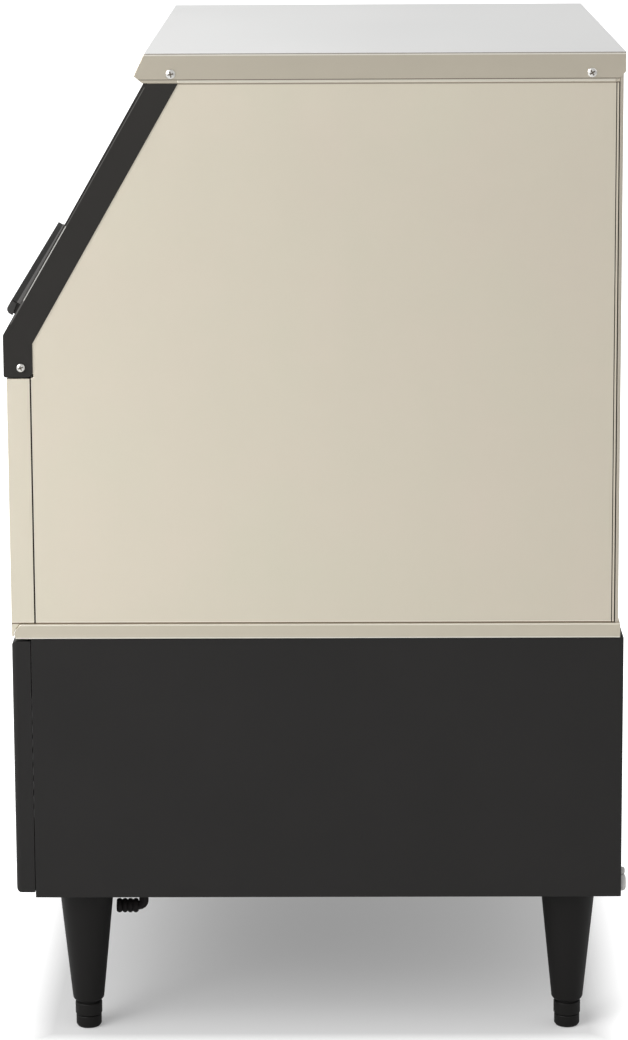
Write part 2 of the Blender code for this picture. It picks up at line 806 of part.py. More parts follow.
def deck_holes():
    """Places on the deck and above it where tubes pass up: (x, depth, radius)."""
    return (
        (LIQUID_X, RISER_D, LIQUID_RADIUS + SLACK),
        (SUCTION_X, RISER_D, SUCTION_RADIUS + SLACK),
        (BIN_DRAIN_X, BIN_DRAIN_D, BIN_DRAIN_RADIUS + TOUCH),
    )


def deck_tray(looks):
    made = prism("deck_tray", belt_outline(), -HALF, HALF)
    hollow = block(
        "hollow",
        -HALF + HEM,
        HALF - HEM,
        BELT_TOP_D + BELT_BEAD,
        BODY_BACK_D - HEM,
        DECK_Z,
        BELT_TOP_Z + OVERRUN,
    )
    cut(made, hollow)
    for x, depth, radius in deck_holes():
        centre = (x, back(depth), DECK_Z)
        cut(made, hole(radius, centre, -OVERRUN, OVERRUN, "Z", ROUND_MID))
    return settle(made, looks["stainless"])


def front_panel_outline():
    """Side outline of the front panel; its returns follow the belt's chamfer below."""
    top = FRAME_FOOT_Z - TOUCH - FRONT_LIP / 2
    nose_z = BELT_FOOT_Z + BELT_HIGH * BELT_NOSE_SHARE
    edge_z = BELT_FOOT_Z + BELT_HIGH * BELT_EDGE_SHARE
    return [
        (FACE_D, BELT_FOOT_Z + FRONT_LIP),
        (BELT_NOSE_D - TOUCH, BELT_FOOT_Z + FRONT_LIP),
        (BELT_NOSE_D - TOUCH, nose_z),
        (BELT_EDGE_D - TOUCH, edge_z + TOUCH),
        (BELT_TOP_D - TOUCH, BELT_TOP_Z + TOUCH),
        (PANEL_SEAM_D - TOUCH, BELT_TOP_Z + TOUCH),
        (PANEL_SEAM_D - TOUCH, top),
        (FACE_D, top),
    ]


def front_panel(looks):
    made = prism("front_panel", front_panel_outline(), -PANEL_X, PANEL_X)
    hollow = block(
        "hollow",
        -PANEL_X + SHEET,
        PANEL_X - SHEET,
        FACE_D + SHEET,
        PANEL_SEAM_D + OVERRUN,
        BELT_FOOT_Z - OVERRUN,
        FRAME_FOOT_Z - TOUCH - FRONT_LIP / 2 - SHEET,
    )
    cut(made, hollow)
    return settle(made, looks["stainless"])


def riser(x, low_z, high_z):
    """Route of a tube that climbs behind the bin and turns forward to an end of the coil."""
    coil_d = PLATE_FACE_D + PLATE_THICK + TOUCH + COIL_RADIUS + COIL_REACH + TOUCH
    return [(x, back(RISER_D), low_z), (x, back(RISER_D), high_z), (x, back(coil_d), high_z)]


def liquid_riser():
    return riser(LIQUID_X, DRIER_Z, coil_heights()[-1])


def suction_riser():
    return riser(SUCTION_X, compressor_port_z(COMP_SUCTION_SHARE), coil_heights()[0])


def compressor_port_z(share):
    """Height of a tube's place on the can, where its side is upright."""
    return COMP_FOOT_Z + COMP_PLATE / 2 + COMP_HIGH * share


def coil_heights():
    pitch = PLATE_HIGH / COIL_PASSES
    return [PLATE_FOOT_Z + pitch * (step + 0.5) for step in range(COIL_PASSES)]


def foam_insulation(looks):
    """Foam between the panels and the bin liner, with round ways for tubes and the drain."""
    front_d = FACE_D + SHEET + TOUCH
    step_d = FRAME_DEPTH + TOUCH
    plate_out = -(FRAME_DEPTH + LINER + 2 * TOUCH)
    tray_d = BELT_TOP_D + BELT_BEAD + TOUCH
    shelf_z = FRAME_FOOT_Z - 2 * TOUCH - FRONT_LIP / 2 - SHEET
    roof = ROOF_Z - SHEET - TOUCH
    outline = [
        (tray_d, DECK_Z + TOUCH),
        (BACK_SHEET_D - SHEET - TOUCH, DECK_Z + TOUCH),
        (BACK_SHEET_D - SHEET - TOUCH, roof),
        (slope_depth(roof, plate_out), roof),
        (step_d, slope_height(step_d, plate_out)),
        (step_d, shelf_z),
        (front_d, shelf_z),
        (front_d, BELT_TOP_Z + 2 * TOUCH),
        (tray_d, BELT_TOP_Z + 2 * TOUCH),
    ]
    made = prism("foam_insulation", outline, -FOAM_HALF, FOAM_HALF)
    skin = LINER + TOUCH
    cut(made, prism("bin", bin_outline(skin, plate_out + TOUCH), -BIN_HALF - skin, BIN_HALF + skin))
    for path, radius in ((liquid_riser(), LIQUID_RADIUS), (suction_riser(), SUCTION_RADIUS)):
        cut(made, swept("way", rounded_path(path, TUBE_BEND), radius + SLACK))
    centre = (BIN_DRAIN_X, back(BIN_DRAIN_D), DECK_Z)
    cut(made, hole(BIN_DRAIN_RADIUS + TOUCH, centre, -OVERRUN, BIN_FLOOR_Z - DECK_Z, "Z"))
    tip_x = HALF - SCREW_LONG - TOUCH
    for side, sign in SIDES:
        low, high = sorted((sign * tip_x, sign * HALF))
        centre = (0, back(CAP_SCREW_DS[-1]), HEIGHT - CAP_SCREW_DROP)
        cut(made, hole(SCREW_SHANK + TOUCH, centre, low, high, "X", ROUND_LOW))
    return settle(made, looks["foam"])


def bin_outline(grow, out):
    """Side outline of the bin, grown by a wall and cut by a plane along the slanted front."""
    foot, top = BIN_FLOOR_Z - grow, BIN_TOP_Z + grow
    front_d, back_d = BIN_FRONT_D - grow, BIN_BACK_D + grow
    return [
        (front_d, foot),
        (back_d, foot),
        (back_d, top),
        (slope_depth(top, out), top),
        (front_d, slope_height(front_d, out)),
    ]


def bin_liner(looks):
    """Moulded bin with a slanted flange that the door's gasket meets."""
    face = -(FRAME_DEPTH + TOUCH)
    rear_face = face - LINER
    half = BIN_HALF + LINER
    made = prism("bin_liner", bin_outline(LINER, rear_face + LINER / 2), -half, half)
    rim = [(FLANGE_TOP, rear_face), (FLANGE_FOOT, rear_face), (FLANGE_FOOT, face), (FLANGE_TOP, face)]
    join(made, slope_prism("rim", rim, -FLANGE_HALF, FLANGE_HALF))
    cut(made, prism("inside", bin_outline(0, rear_face), -BIN_HALF, BIN_HALF))
    doorway = [
        (DOORWAY_TOP, rear_face - OVERRUN),
        (DOORWAY_FOOT, rear_face - OVERRUN),
        (DOORWAY_FOOT, face + OVERRUN),
        (DOORWAY_TOP, face + OVERRUN),
    ]
    cut(made, slope_prism("doorway", doorway, -DOORWAY_HALF, DOORWAY_HALF))
    centre = (BIN_DRAIN_X, back(BIN_DRAIN_D), BIN_FLOOR_Z)
    cut(made, hole(BIN_DRAIN_RADIUS + TOUCH, centre, -OVERRUN, OVERRUN))
    for path, radius in ((liquid_riser(), LIQUID_RADIUS), (suction_riser(), SUCTION_RADIUS)):
        x, _, height = path[-1]
        centre = (x, back(BIN_BACK_D), height)
        cut(made, hole(radius + TOUCH, centre, -OVERRUN, OVERRUN, "Y", ROUND_MID))
    return settle(made, looks["liner"])


def bin_drain(looks):
    """Drain flange on the bin floor with its pipe down through the foam and out at the rear."""
    top_z = BIN_FLOOR_Z + TOUCH
    x, y = BIN_DRAIN_X, back(BIN_DRAIN_D)
    end_y = back(BASE_BACK_D + GLAND_PROUD)
    corners = [(x, y, top_z + BIN_DRAIN_THICK), (x, y, BIN_DRAIN_OUT_Z), (x, end_y, BIN_DRAIN_OUT_Z)]
    path = rounded_path(corners, 2 * BIN_DRAIN_RADIUS)
    made = swept("bin_drain", path, BIN_DRAIN_RADIUS, BIN_DRAIN_BORE, ROUND_MID)
    profile = [
        (BIN_DRAIN_RADIUS - TOUCH, 0),
        (BIN_DRAIN_FLANGE, 0),
        (BIN_DRAIN_FLANGE, BIN_DRAIN_THICK),
        (BIN_DRAIN_RADIUS - TOUCH, BIN_DRAIN_THICK),
    ]
    join(made, turned("flange", profile, (x, y, top_z), "Z", ROUND_MID, ring=True))
    return settle(made, looks["liner"], (x, y, top_z), smooth=True)


# Door frame and door


def frame_outline():
    inner_d = FRAME_DEPTH - 2 * TOUCH
    points = [
        (0, FRAME_FOOT_Z),
        (inner_d, FRAME_FOOT_Z),
        (inner_d, slope_height(inner_d, -FRAME_DEPTH)),
        (slope_depth(SLOPE_TOP_Z, -FRAME_DEPTH), SLOPE_TOP_Z),
        (SLOPE_TOP_D, SLOPE_TOP_Z),
        (0, SLOPE_FOOT_Z),
    ]
    return fillet(points, {0: FRAME_CORNER_FRONT, 1: FRAME_CORNER_BACK, 5: FRAME_CORNER_FRONT * 2})


def door_frame(looks):
    """Moulded bezel: side bars, a thin top rail and a deeper foot with a grip scoop."""
    made = prism("door_frame", frame_outline(), -HALF, HALF)
    deep = FRAME_DEPTH + OVERRUN
    opening = [
        (FRAME_TOP_RAIL, -deep),
        (FRAME_OPEN_FOOT, -deep),
        (FRAME_OPEN_FOOT, OVERRUN),
        (FRAME_TOP_RAIL, OVERRUN),
    ]
    cut(made, slope_prism("opening", opening, -FRAME_OPEN_HALF, FRAME_OPEN_HALF))
    for side, sign in SIDES:
        near, far = sign * (FRAME_OPEN_HALF + WALL), sign * (PANEL_X - SHEET / 2)
        pocket = [
            (FRAME_SOLID_TOP, -deep),
            (FRAME_OPEN_FOOT, -deep),
            (FRAME_OPEN_FOOT, -WALL),
            (FRAME_SOLID_TOP, -WALL),
        ]
        cut(made, slope_prism("pocket", pocket, min(near, far), max(near, far)))
        cut(made, frame_panel_slot(sign))
    centre = (0, back(FRAME_SCREW_D), FRAME_FOOT_Z + FRAME_SCREW_RISE)
    cut(made, hole(SCREW_SHANK + TOUCH, centre, -WIDTH, WIDTH, "X", ROUND_LOW))
    cut(made, grip_scoop())
    pin_d, pin_z = on_slope(PIVOT_S, PIVOT_N)
    reach = FRAME_OPEN_HALF + PIN_BEARING + TOUCH
    cut(made, hole(PIN_RADIUS + TOUCH, (0, back(pin_d), pin_z), -reach, reach, "X", ROUND_MID))
    return settle(made, looks["bezel"])


def frame_panel_slot(sign):
    """Space for the side panel's edge, which runs forward under the frame's outer skirt."""
    outer, inner = sign * (PANEL_X + TOUCH), sign * (PANEL_X - SHEET - TOUCH)
    front_d = WALL - TOUCH
    foot = FRAME_FOOT_Z + WALL
    roof = SLOPE_TOP_Z + OVERRUN
    outline = [
        (front_d, foot),
        (FRAME_DEPTH + OVERRUN, foot),
        (slope_depth(roof, -FRAME_DEPTH - OVERRUN), roof),
        (slope_depth(roof, -front_d), roof),
        (front_d, slope_height(front_d, -front_d)),
    ]
    return prism("slot", outline, min(outer, inner), max(outer, inner))


def grip_scoop():
    """Finger space below the handle, open to the front."""
    top_d, top_z = on_slope(FRAME_OPEN_FOOT - OVERRUN, -SCOOP_DEPTH)
    foot_z = SLOPE_FOOT_Z - SCOOP_FOOT
    outline = [
        (-OVERRUN, foot_z),
        (SCOOP_DEPTH * SCOOP_FLOOR_SHARE, foot_z),
        (SCOOP_DEPTH, foot_z + SCOOP_FOOT * SCOOP_RISE_SHARE),
        (top_d, top_z),
        on_slope(FRAME_OPEN_FOOT - OVERRUN, OVERRUN),
        (-OVERRUN, SLOPE_FOOT_Z),
    ]
    return prism("scoop", outline, -SCOOP_HALF, SCOOP_HALF)


def door_section(inner_out):
    """Door section with a round head about the pivot, as (along, out) points."""
    radius = DOOR_THICK / 2
    points = [(DOOR_FOOT, -DOOR_FACE)]
    for step in range(ROUND_LOW + 1):
        angle = math.pi * step / ROUND_LOW
        points.append((PIVOT_S - radius * math.sin(angle), PIVOT_N + radius * math.cos(angle)))
    head_s = PIVOT_S + radius
    points += [(head_s, -DOOR_FACE - DOOR_THICK), (head_s, inner_out), (DOOR_FOOT, inner_out)]
    return points


def door_shell(looks):
    half = FRAME_OPEN_HALF - DOOR_GAP
    inner_out = -(DOOR_FACE + DOOR_THICK - DOOR_LINER - TOUCH)
    made = slope_prism("door_shell", door_section(inner_out), -half, half)
    hollow = [
        (PIVOT_S + DOOR_THICK / 2 + WALL, inner_out - OVERRUN),
        (DOOR_FOOT - WALL, inner_out - OVERRUN),
        (DOOR_FOOT - WALL, -DOOR_FACE - WALL),
        (PIVOT_S + DOOR_THICK / 2 + WALL, -DOOR_FACE - WALL),
    ]
    cut(made, slope_prism("hollow", hollow, -half + WALL, half - WALL))
    pin_d, pin_z = on_slope(PIVOT_S, PIVOT_N)
    reach = half - PIN_BEARING
    for side, sign in SIDES:
        low, high = sorted((sign * reach, sign * (half + OVERRUN)))
        cut(made, hole(PIN_RADIUS + TOUCH, (0, back(pin_d), pin_z), low, high, "X", ROUND_MID))
    return settle(made, looks["door"], (0, back(pin_d), pin_z))


def door_foam(looks):
    half = FRAME_OPEN_HALF - DOOR_GAP - WALL - TOUCH
    top = PIVOT_S + DOOR_THICK / 2 + WALL + TOUCH
    foot = DOOR_FOOT - WALL - TOUCH
    face = -DOOR_FACE - WALL - TOUCH
    rear_face = -(DOOR_FACE + DOOR_THICK - DOOR_LINER)
    outline = [(top, rear_face), (foot, rear_face), (foot, face), (top, face)]
    made = slope_prism("door_foam", outline, -half, half)
    pin_d, pin_z = on_slope(PIVOT_S, PIVOT_N)
    return settle(made, looks["foam"], (0, back(pin_d), pin_z))


def door_liner(looks):
    half = FRAME_OPEN_HALF - DOOR_GAP
    top = PIVOT_S + DOOR_THICK / 2 + TOUCH
    rear_face = -(DOOR_FACE + DOOR_THICK)
    face = rear_face + DOOR_LINER
    outline = [(top, rear_face), (DOOR_FOOT, rear_face), (DOOR_FOOT, face - TOUCH), (top, face - TOUCH)]
    made = slope_prism("door_liner", outline, -half, half)
    pin_d, pin_z = on_slope(PIVOT_S, PIVOT_N)
    return settle(made, looks["liner"], (0, back(pin_d), pin_z))


def door_gasket(looks):
    face = -(DOOR_FACE + DOOR_THICK + TOUCH)
    seat = -FRAME_DEPTH
    outer = FRAME_OPEN_HALF - DOOR_GAP - GASKET_INSET
    outline = [(GASKET_TOP, seat), (GASKET_FOOT, seat), (GASKET_FOOT, face), (GASKET_TOP, face)]
    made = slope_prism("door_gasket", outline, -outer, outer)
    top, foot = GASKET_TOP + GASKET_WIDTH, GASKET_FOOT - GASKET_WIDTH
    inside = [(top, seat - OVERRUN), (foot, seat - OVERRUN), (foot, face + OVERRUN), (top, face + OVERRUN)]
    cut(made, slope_prism("inside", inside, -outer + GASKET_WIDTH, outer - GASKET_WIDTH))
    pin_d, pin_z = on_slope(PIVOT_S, PIVOT_N)
    return settle(made, looks["rubber"], (0, back(pin_d), pin_z))


def handle_bend(radius):
    """Quarter bend of the handle's lower edge as (along, out) points, outer face to underside."""
    points = []
    for step in range(NOSE_STEPS + 1):
        angle = math.pi / 2 * step / NOSE_STEPS
        along = HANDLE_NOSE - HANDLE_ROUND + radius * math.sin(angle)
        points.append((along, HANDLE_RISE - HANDLE_ROUND + radius * math.cos(angle)))
    return points


def door_handle(looks):
    """Lip along the door's lower edge: a bent skin, open below for the fingers, with closed ends."""
    seat = -DOOR_FACE + TOUCH
    outline = [(HANDLE_TOP, seat), (HANDLE_TOP, HANDLE_RISE)] + handle_bend(HANDLE_ROUND)
    outline += [(HANDLE_NOSE, HANDLE_LIFT), (DOOR_FOOT, HANDLE_LIFT), (DOOR_FOOT, seat)]
    made = slope_prism("door_handle", outline, -HANDLE_HALF, HANDLE_HALF)
    wall = HANDLE_WALL
    inside = [(HANDLE_TOP + wall, seat - OVERRUN), (HANDLE_TOP + wall, HANDLE_RISE - wall)]
    inside += handle_bend(HANDLE_ROUND - wall)
    mouth = HANDLE_RISE - HANDLE_ROUND
    inside += [(HANDLE_NOSE + OVERRUN, mouth), (HANDLE_NOSE + OVERRUN, seat - OVERRUN)]
    cut(made, slope_prism("inside", inside, -HANDLE_HALF + wall, HANDLE_HALF - wall))
    pin_d, pin_z = on_slope(PIVOT_S, PIVOT_N)
    return settle(made, looks["bezel"], (0, back(pin_d), pin_z))


def hinge_pin(side, sign, looks):
    pin_d, pin_z = on_slope(PIVOT_S, PIVOT_N)
    inner = FRAME_OPEN_HALF - DOOR_GAP - PIN_BEARING + TOUCH
    outer = FRAME_OPEN_HALF + PIN_BEARING
    low, high = sorted((sign * inner, sign * outer))
    made = rod(f"hinge_pin_{side}", PIN_RADIUS, (0, back(pin_d), pin_z), low, high, "X", ROUND_MID)
    return settle(made, looks["steel"], smooth=True)


def screw(name, sign, depth, height, head, look, outer_x):
    """Round-headed screw with a cross recess, its shank pointing into the cabinet."""
    rise = SCREW_HEAD_HIGH
    profile = [(SCREW_SHANK, -SCREW_LONG), (SCREW_SHANK, 0)]
    profile += [(head * wide, rise * high) for wide, high in SCREW_HEAD_SHARES]
    profile.append((0, rise))
    made = turned(name, profile, (0, 0, 0), "Z", ROUND_MID)
    for long, wide in ((SCREW_RECESS_LONG, SCREW_RECESS_WIDE), (SCREW_RECESS_WIDE, SCREW_RECESS_LONG)):
        shape = bmesh.new()
        bmesh.ops.create_cube(shape, size=1)
        deep = 2 * SCREW_RECESS_DEEP
        bmesh.ops.scale(shape, vec=(long, wide, deep), verts=shape.verts)
        bmesh.ops.translate(shape, vec=(0, 0, rise), verts=shape.verts)
        cut(made, from_bmesh("recess", shape))
    turn = Matrix.Rotation(sign * math.radians(90), 4, "Y")
    made.data.transform(turn)
    made.location = (sign * (outer_x + TOUCH), back(depth), height)
    return settle(made, look)


def screws(looks):
    for number, depth in enumerate(CAP_SCREW_DS):
        place = ("front", "rear")[number]
        for side, sign in SIDES:
            height = HEIGHT - CAP_SCREW_DROP
            screw(f"cap_screw_{place}_{side}", sign, depth, height, SCREW_HEAD, looks["steel"], HALF)
    for side, sign in SIDES:
        height = FRAME_FOOT_Z + FRAME_SCREW_RISE
        screw(f"frame_screw_{side}", sign, FRAME_SCREW_D, height, FRAME_SCREW_HEAD, looks["steel"], HALF)


# Machinery base


def base_side(side, sign, looks):
    outer, inner = sign * BASE_X, sign * (BASE_X - BASE_SHEET)
    low, high = sorted((outer, inner))
    made = block(f"base_side_{side}", low, high, BASE_SIDE_D, BASE_BACK_D, LEG_HEIGHT, BASE_TOP_Z)
    low, high = sorted((inner, sign * (BASE_X - BASE_FLANGE)))
    top = BASE_TOP_Z - BASE_SHEET
    front_d, back_d = BASE_SIDE_D + BASE_FLANGE, BASE_BACK_D - BASE_FLANGE
    join(made, block("flange", low, high, front_d, back_d, top, BASE_TOP_Z))
    return settle(made, looks["black"])


def base_rear_panel(looks):
    half = BASE_X - BASE_SHEET - TOUCH
    front_d = BASE_BACK_D - BASE_SHEET
    foot = PAN_FLOOR_Z + TOUCH
    made = block("base_rear_panel", -half, half, front_d, BASE_BACK_D, foot, BASE_TOP_Z)
    shelf_half = BASE_X - BASE_FLANGE - TOUCH
    shelf_z, shelf_d = BASE_TOP_Z - BASE_SHEET, front_d - BASE_FLANGE
    join(made, block("flange", -shelf_half, shelf_half, shelf_d, front_d, shelf_z, BASE_TOP_Z))
    front, rear = front_d - OVERRUN, BASE_BACK_D + OVERRUN
    for row in range(VENT_ROWS):
        low = VENT_FOOT_Z + row * VENT_PITCH
        cut(made, block("vent", -VENT_HALF, VENT_HALF, front, rear, low, low + VENT_HIGH))
    for x, height, radius in (
        (GLAND_X, GLAND_Z, GLAND_RADIUS),
        (VALVE_X, VALVE_Z, VALVE_NIPPLE),
        (BIN_DRAIN_X, BIN_DRAIN_OUT_Z, BIN_DRAIN_RADIUS),
    ):
        centre = (x, back(BASE_BACK_D), height)
        cut(made, hole(radius + TOUCH, centre, -OVERRUN, OVERRUN, "Y", ROUND_MID))
    return settle(made, looks["black"])


def leg_places():
    for row, depth in (("front", LEG_FRONT_D), ("rear", LEG_BACK_D)):
        for side, sign in SIDES:
            yield f"{row}_{side}", sign * LEG_X, depth


def base_pan(looks):
    half = BASE_X - BASE_SHEET - TOUCH
    front_d = BASE_SIDE_D
    back_d = BASE_BACK_D - BASE_SHEET - TOUCH
    made = block("base_pan", -half, half, front_d, back_d, PAN_FOOT_Z, PAN_FLOOR_Z + PAN_RIM)
    hollow = block(
        "hollow",
        -half + BASE_SHEET,
        half - BASE_SHEET,
        front_d + BASE_SHEET,
        back_d - BASE_SHEET,
        PAN_FLOOR_Z,
        PAN_FLOOR_Z + PAN_RIM + OVERRUN,
    )
    cut(made, hollow)
    for name, x, depth in leg_places():
        centre = (x, back(depth), PAN_FLOOR_Z)
        join(made, rod("nut", NUT_RADIUS, centre, -BASE_SHEET / 2, NUT_HIGH, "Z", NUT_SIDES))
        cut(made, hole(STUD_RADIUS + TOUCH, centre, -OVERRUN, NUT_HIGH + OVERRUN, "Z", ROUND_LOW))
    centre = (DRAIN_X, back(DRAIN_BACK_D), PAN_FLOOR_Z)
    cut(made, hole(DRAIN_TUBE + TOUCH, centre, -OVERRUN, OVERRUN, "Z", ROUND_MID))
    return settle(made, looks["black"])


def grille_panel(looks):
    """Black front panel with rounded edges, short returns and slanted air slots."""
    half = BASE_X
    foot, top = LEG_HEIGHT + KICK_FOOT_RISE, BASE_TOP_Z - KICK_TOP_GAP
    back_d = KICK_D + KICK_DEEP
    shape = bmesh.new()
    bmesh.ops.create_cube(shape, size=1)
    bmesh.ops.scale(shape, vec=(2 * half, back_d - KICK_D, top - foot), verts=shape.verts)
    bmesh.ops.translate(shape, vec=(0, back((KICK_D + back_d) / 2), (foot + top) / 2), verts=shape.verts)
    face_y = back(KICK_D) + TOUCH
    rim = [edge for edge in shape.edges if all(vert.co.y < face_y for vert in edge.verts)]
    bmesh.ops.bevel(shape, geom=rim, offset=KICK_ROUND, segments=2, profile=0.5, affect="EDGES")
    made = from_bmesh("grille_panel", shape)
    hollow = block(
        "hollow",
        -half + WALL,
        half - WALL,
        KICK_D + GRILLE_THICK,
        back_d + OVERRUN,
        foot + WALL,
        top - WALL,
    )
    cut(made, hollow)
    bay = (2 * GRILLE_HALF - GRILLE_BARS * GRILLE_BAR) / (GRILLE_BARS + 1)
    front, rear = KICK_D - OVERRUN, KICK_D + GRILLE_THICK + OVERRUN
    rise = GRILLE_SLANT / GRILLE_THICK
    for row in range(GRILLE_ROWS):
        low = GRILLE_FOOT_Z + row * GRILLE_PITCH
        for column in range(GRILLE_BARS + 1):
            left = -GRILLE_HALF + column * (bay + GRILLE_BAR)
            slot = [
                (front, low - OVERRUN * rise),
                (rear, low + (rear - KICK_D) * rise),
                (rear, low + (rear - KICK_D) * rise + GRILLE_SLOT),
                (front, low - OVERRUN * rise + GRILLE_SLOT),
            ]
            cut(made, prism("slot", slot, left, left + bay))
    window_x, window_z = SWITCH_WIDE / 2 + TOUCH, SWITCH_HIGH / 2 + TOUCH
    window = block(
        "window",
        SWITCH_X - window_x,
        SWITCH_X + window_x,
        front,
        rear,
        SWITCH_Z - window_z - SLACK,
        SWITCH_Z + window_z + SLACK,
    )
    cut(made, window)
    return settle(made, looks["black"])


def leg(place, x, depth, looks):
    """Tapered leg with a stud above and a blind bore for the levelling foot below."""
    top = PAN_FOOT_Z - TOUCH
    mouth = LEG_FOOT_Z
    profile = [
        (0, LEG_BORE_TOP_Z),
        (LEG_BORE, LEG_BORE_TOP_Z),
        (LEG_BORE, mouth),
        (LEG_FOOT_RADIUS, mouth),
        (LEG_TOP_RADIUS, top),
        (STUD_RADIUS, top),
        (STUD_RADIUS, top + STUD_HIGH),
        (0, top + STUD_HIGH),
    ]
    made = turned(f"leg_{place}", profile, (x, back(depth), 0), "Z", ROUND_FINE)
    return settle(made, looks["leg"], smooth=True)


def levelling_foot(place, x, depth, looks):
    groove = TOUCH + (COLLAR_TOP_Z - COLLAR_HIGH - FOOT_HIGH) / 2
    profile = [
        (0, 0),
        (FOOT_FLAT, 0),
        (FOOT_RADIUS, FOOT_ROUND),
        (FOOT_RADIUS, FOOT_HIGH),
        (GROOVE_RADIUS, FOOT_HIGH + groove),
        (COLLAR_RADIUS, COLLAR_TOP_Z - COLLAR_HIGH),
        (COLLAR_RADIUS, COLLAR_TOP_Z),
        (GROOVE_RADIUS, COLLAR_TOP_Z),
        (GROOVE_RADIUS, LEG_FOOT_Z - TOUCH),
        (STEM_RADIUS, LEG_FOOT_Z - TOUCH),
        (STEM_RADIUS, STEM_TOP_Z),
        (0, STEM_TOP_Z),
    ]
    made = turned(f"foot_{place}", profile, (x, back(depth), 0), "Z", ROUND_FINE)
    return settle(made, looks["leg"], (x, back(depth), LEG_FOOT_Z), smooth=True)


def drain_elbow(looks):
    x = DRAIN_X
    start = (x, back(DRAIN_BACK_D), PAN_FLOOR_Z + BASE_SHEET)
    corner = (x, back(DRAIN_BACK_D), DRAIN_Z)
    end = (x, back(DRAIN_FRONT_D + DRAIN_CAP_RADIUS), DRAIN_Z)
    path = rounded_path([start, corner, end], DRAIN_BEND)
    made = swept("drain_elbow", path, DRAIN_TUBE, DRAIN_BORE, ROUND_LOW)
    return settle(made, looks["rubber"], start, smooth=True)


def drain_cap(looks):
    """Ringed cap over the elbow's open end, turned about its own length."""
    bore = (DRAIN_TUBE + TOUCH) / math.cos(math.pi / ROUND_MID)
    wall_end = DRAIN_CAP_RADIUS - TOUCH
    ring = DRAIN_CAP_LONG / DRAIN_CAP_RINGS
    profile = [(0, 0), (DRAIN_CAP_RADIUS - DRAIN_CAP_GROOVE, 0)]
    for number in range(DRAIN_CAP_RINGS):
        low = number * ring
        profile += [
            (DRAIN_CAP_RADIUS, low + ring * DRAIN_RING_SHARES[0]),
            (DRAIN_CAP_RADIUS, low + ring * DRAIN_RING_SHARES[1]),
            (DRAIN_CAP_RADIUS - DRAIN_CAP_GROOVE, low + ring),
        ]
    profile += [(bore, DRAIN_CAP_LONG), (bore, wall_end), (0, wall_end)]
    centre = (DRAIN_X, back(DRAIN_FRONT_D), DRAIN_Z)
    made = turned("drain_cap", profile, centre, "Y", ROUND_MID)
    return settle(made, looks["rubber"], smooth=True)


def stud_profile(radius, shares):
    """Turned profile of a low stud on the base's rear face, from its seat to its crown."""
    points = [(0, TOUCH), (radius, TOUCH)]
    points += [(radius * wide, SPACER_REACH * high) for wide, high in shares]
    return points + [(0, SPACER_REACH * shares[-1][1])]


def rear_spacer(side, sign, looks):
    """Small pale pad and button that keep the base off the wall."""
    x = sign * (BASE_X - SPACER_X_INSET)
    centre = (x, back(BASE_BACK_D), SPACER_Z)
    pad = stud_profile(SPACER_RADIUS, SPACER_SHARES)
    made = turned(f"rear_spacer_{side}", pad, centre, "Y", ROUND_MID)
    above = (x, back(BASE_BACK_D), SPACER_Z + SPACER_SMALL_RISE)
    button = stud_profile(SPACER_SMALL_RADIUS, BUTTON_SHARES)
    join(made, turned("button", button, above, "Y", ROUND_LOW))
    return settle(made, looks["pale"], smooth=True)


# Cooling machinery


def condenser(looks):
    """Finned block with a lip that stands on the pan."""
    foot, top = COND_FOOT_Z, COND_FOOT_Z + COND_HIGH
    made = block(
        "condenser", COND_LEFT_X, COND_RIGHT_X, COND_FRONT_D, COND_FRONT_D + COND_DEEP, foot, top
    )
    pitch = (COND_RIGHT_X - COND_LEFT_X) / COND_FINS
    margin = (top - foot) / COND_FINS
    for number in range(COND_FINS):
        left = COND_LEFT_X + pitch * (number + 0.5) - COND_FIN_GAP / 2
        slot = block(
            "slot",
            left,
            left + COND_FIN_GAP,
            COND_FRONT_D - OVERRUN,
            COND_FRONT_D + COND_FIN_DEEP,
            foot + margin,
            top - margin,
        )
        cut(made, slot)
    return settle(made, looks["aluminium"])


def fan_centre():
    x = (COND_LEFT_X + COND_RIGHT_X) / 2
    return x, COND_FRONT_D + COND_DEEP + TOUCH, COND_FOOT_Z + COND_HIGH / 2


def fan_shroud(looks):
    """Square plate round the rotor with a spider behind it that carries the motor."""
    x, front_d, z = fan_centre()
    back_d = front_d + SHROUD_DEEP
    half = (COND_RIGHT_X - COND_LEFT_X) / 2
    foot, top = COND_FOOT_Z, COND_FOOT_Z + COND_HIGH
    made = block("fan_shroud", x - half, x + half, front_d, back_d, foot, top)
    cut(made, hole(SHROUD_HOLE, (x, back(front_d), z), -OVERRUN, SHROUD_DEEP + OVERRUN, "Y", ROUND_FINE))
    reach = SHROUD_HOLE + WALL
    thin = SPIDER_WIDE / 2
    bar_front = back_d - SPIDER_THICK
    join(made, block("bar", x - reach, x + reach, bar_front, back_d, z - thin, z + thin))
    join(made, block("post", x - thin, x + thin, bar_front, back_d, z - reach, z + reach))
    cut(made, hole(FAN_SHAFT + SLACK, (x, back(back_d), z), -SHROUD_DEEP, OVERRUN, "Y", ROUND_LOW))
    return settle(made, looks["black"])


def fan_motor(looks):
    """Motor can behind the spider with its shaft forward through it."""
    x, front_d, z = fan_centre()
    seat = front_d + SHROUD_DEEP + TOUCH
    nose = -(SHROUD_DEEP - SLACK * 2)
    radius, long = FAN_MOTOR_RADIUS, FAN_MOTOR_LONG
    profile = [(0, nose), (FAN_SHAFT, nose), (FAN_SHAFT, 0)]
    profile += [(radius * wide, long * high) for wide, high in FAN_MOTOR_SHARES]
    profile.append((0, long))
    made = turned("fan_motor", profile, (x, back(seat), z), "Y", ROUND_MID)
    return settle(made, looks["steel"], smooth=True)


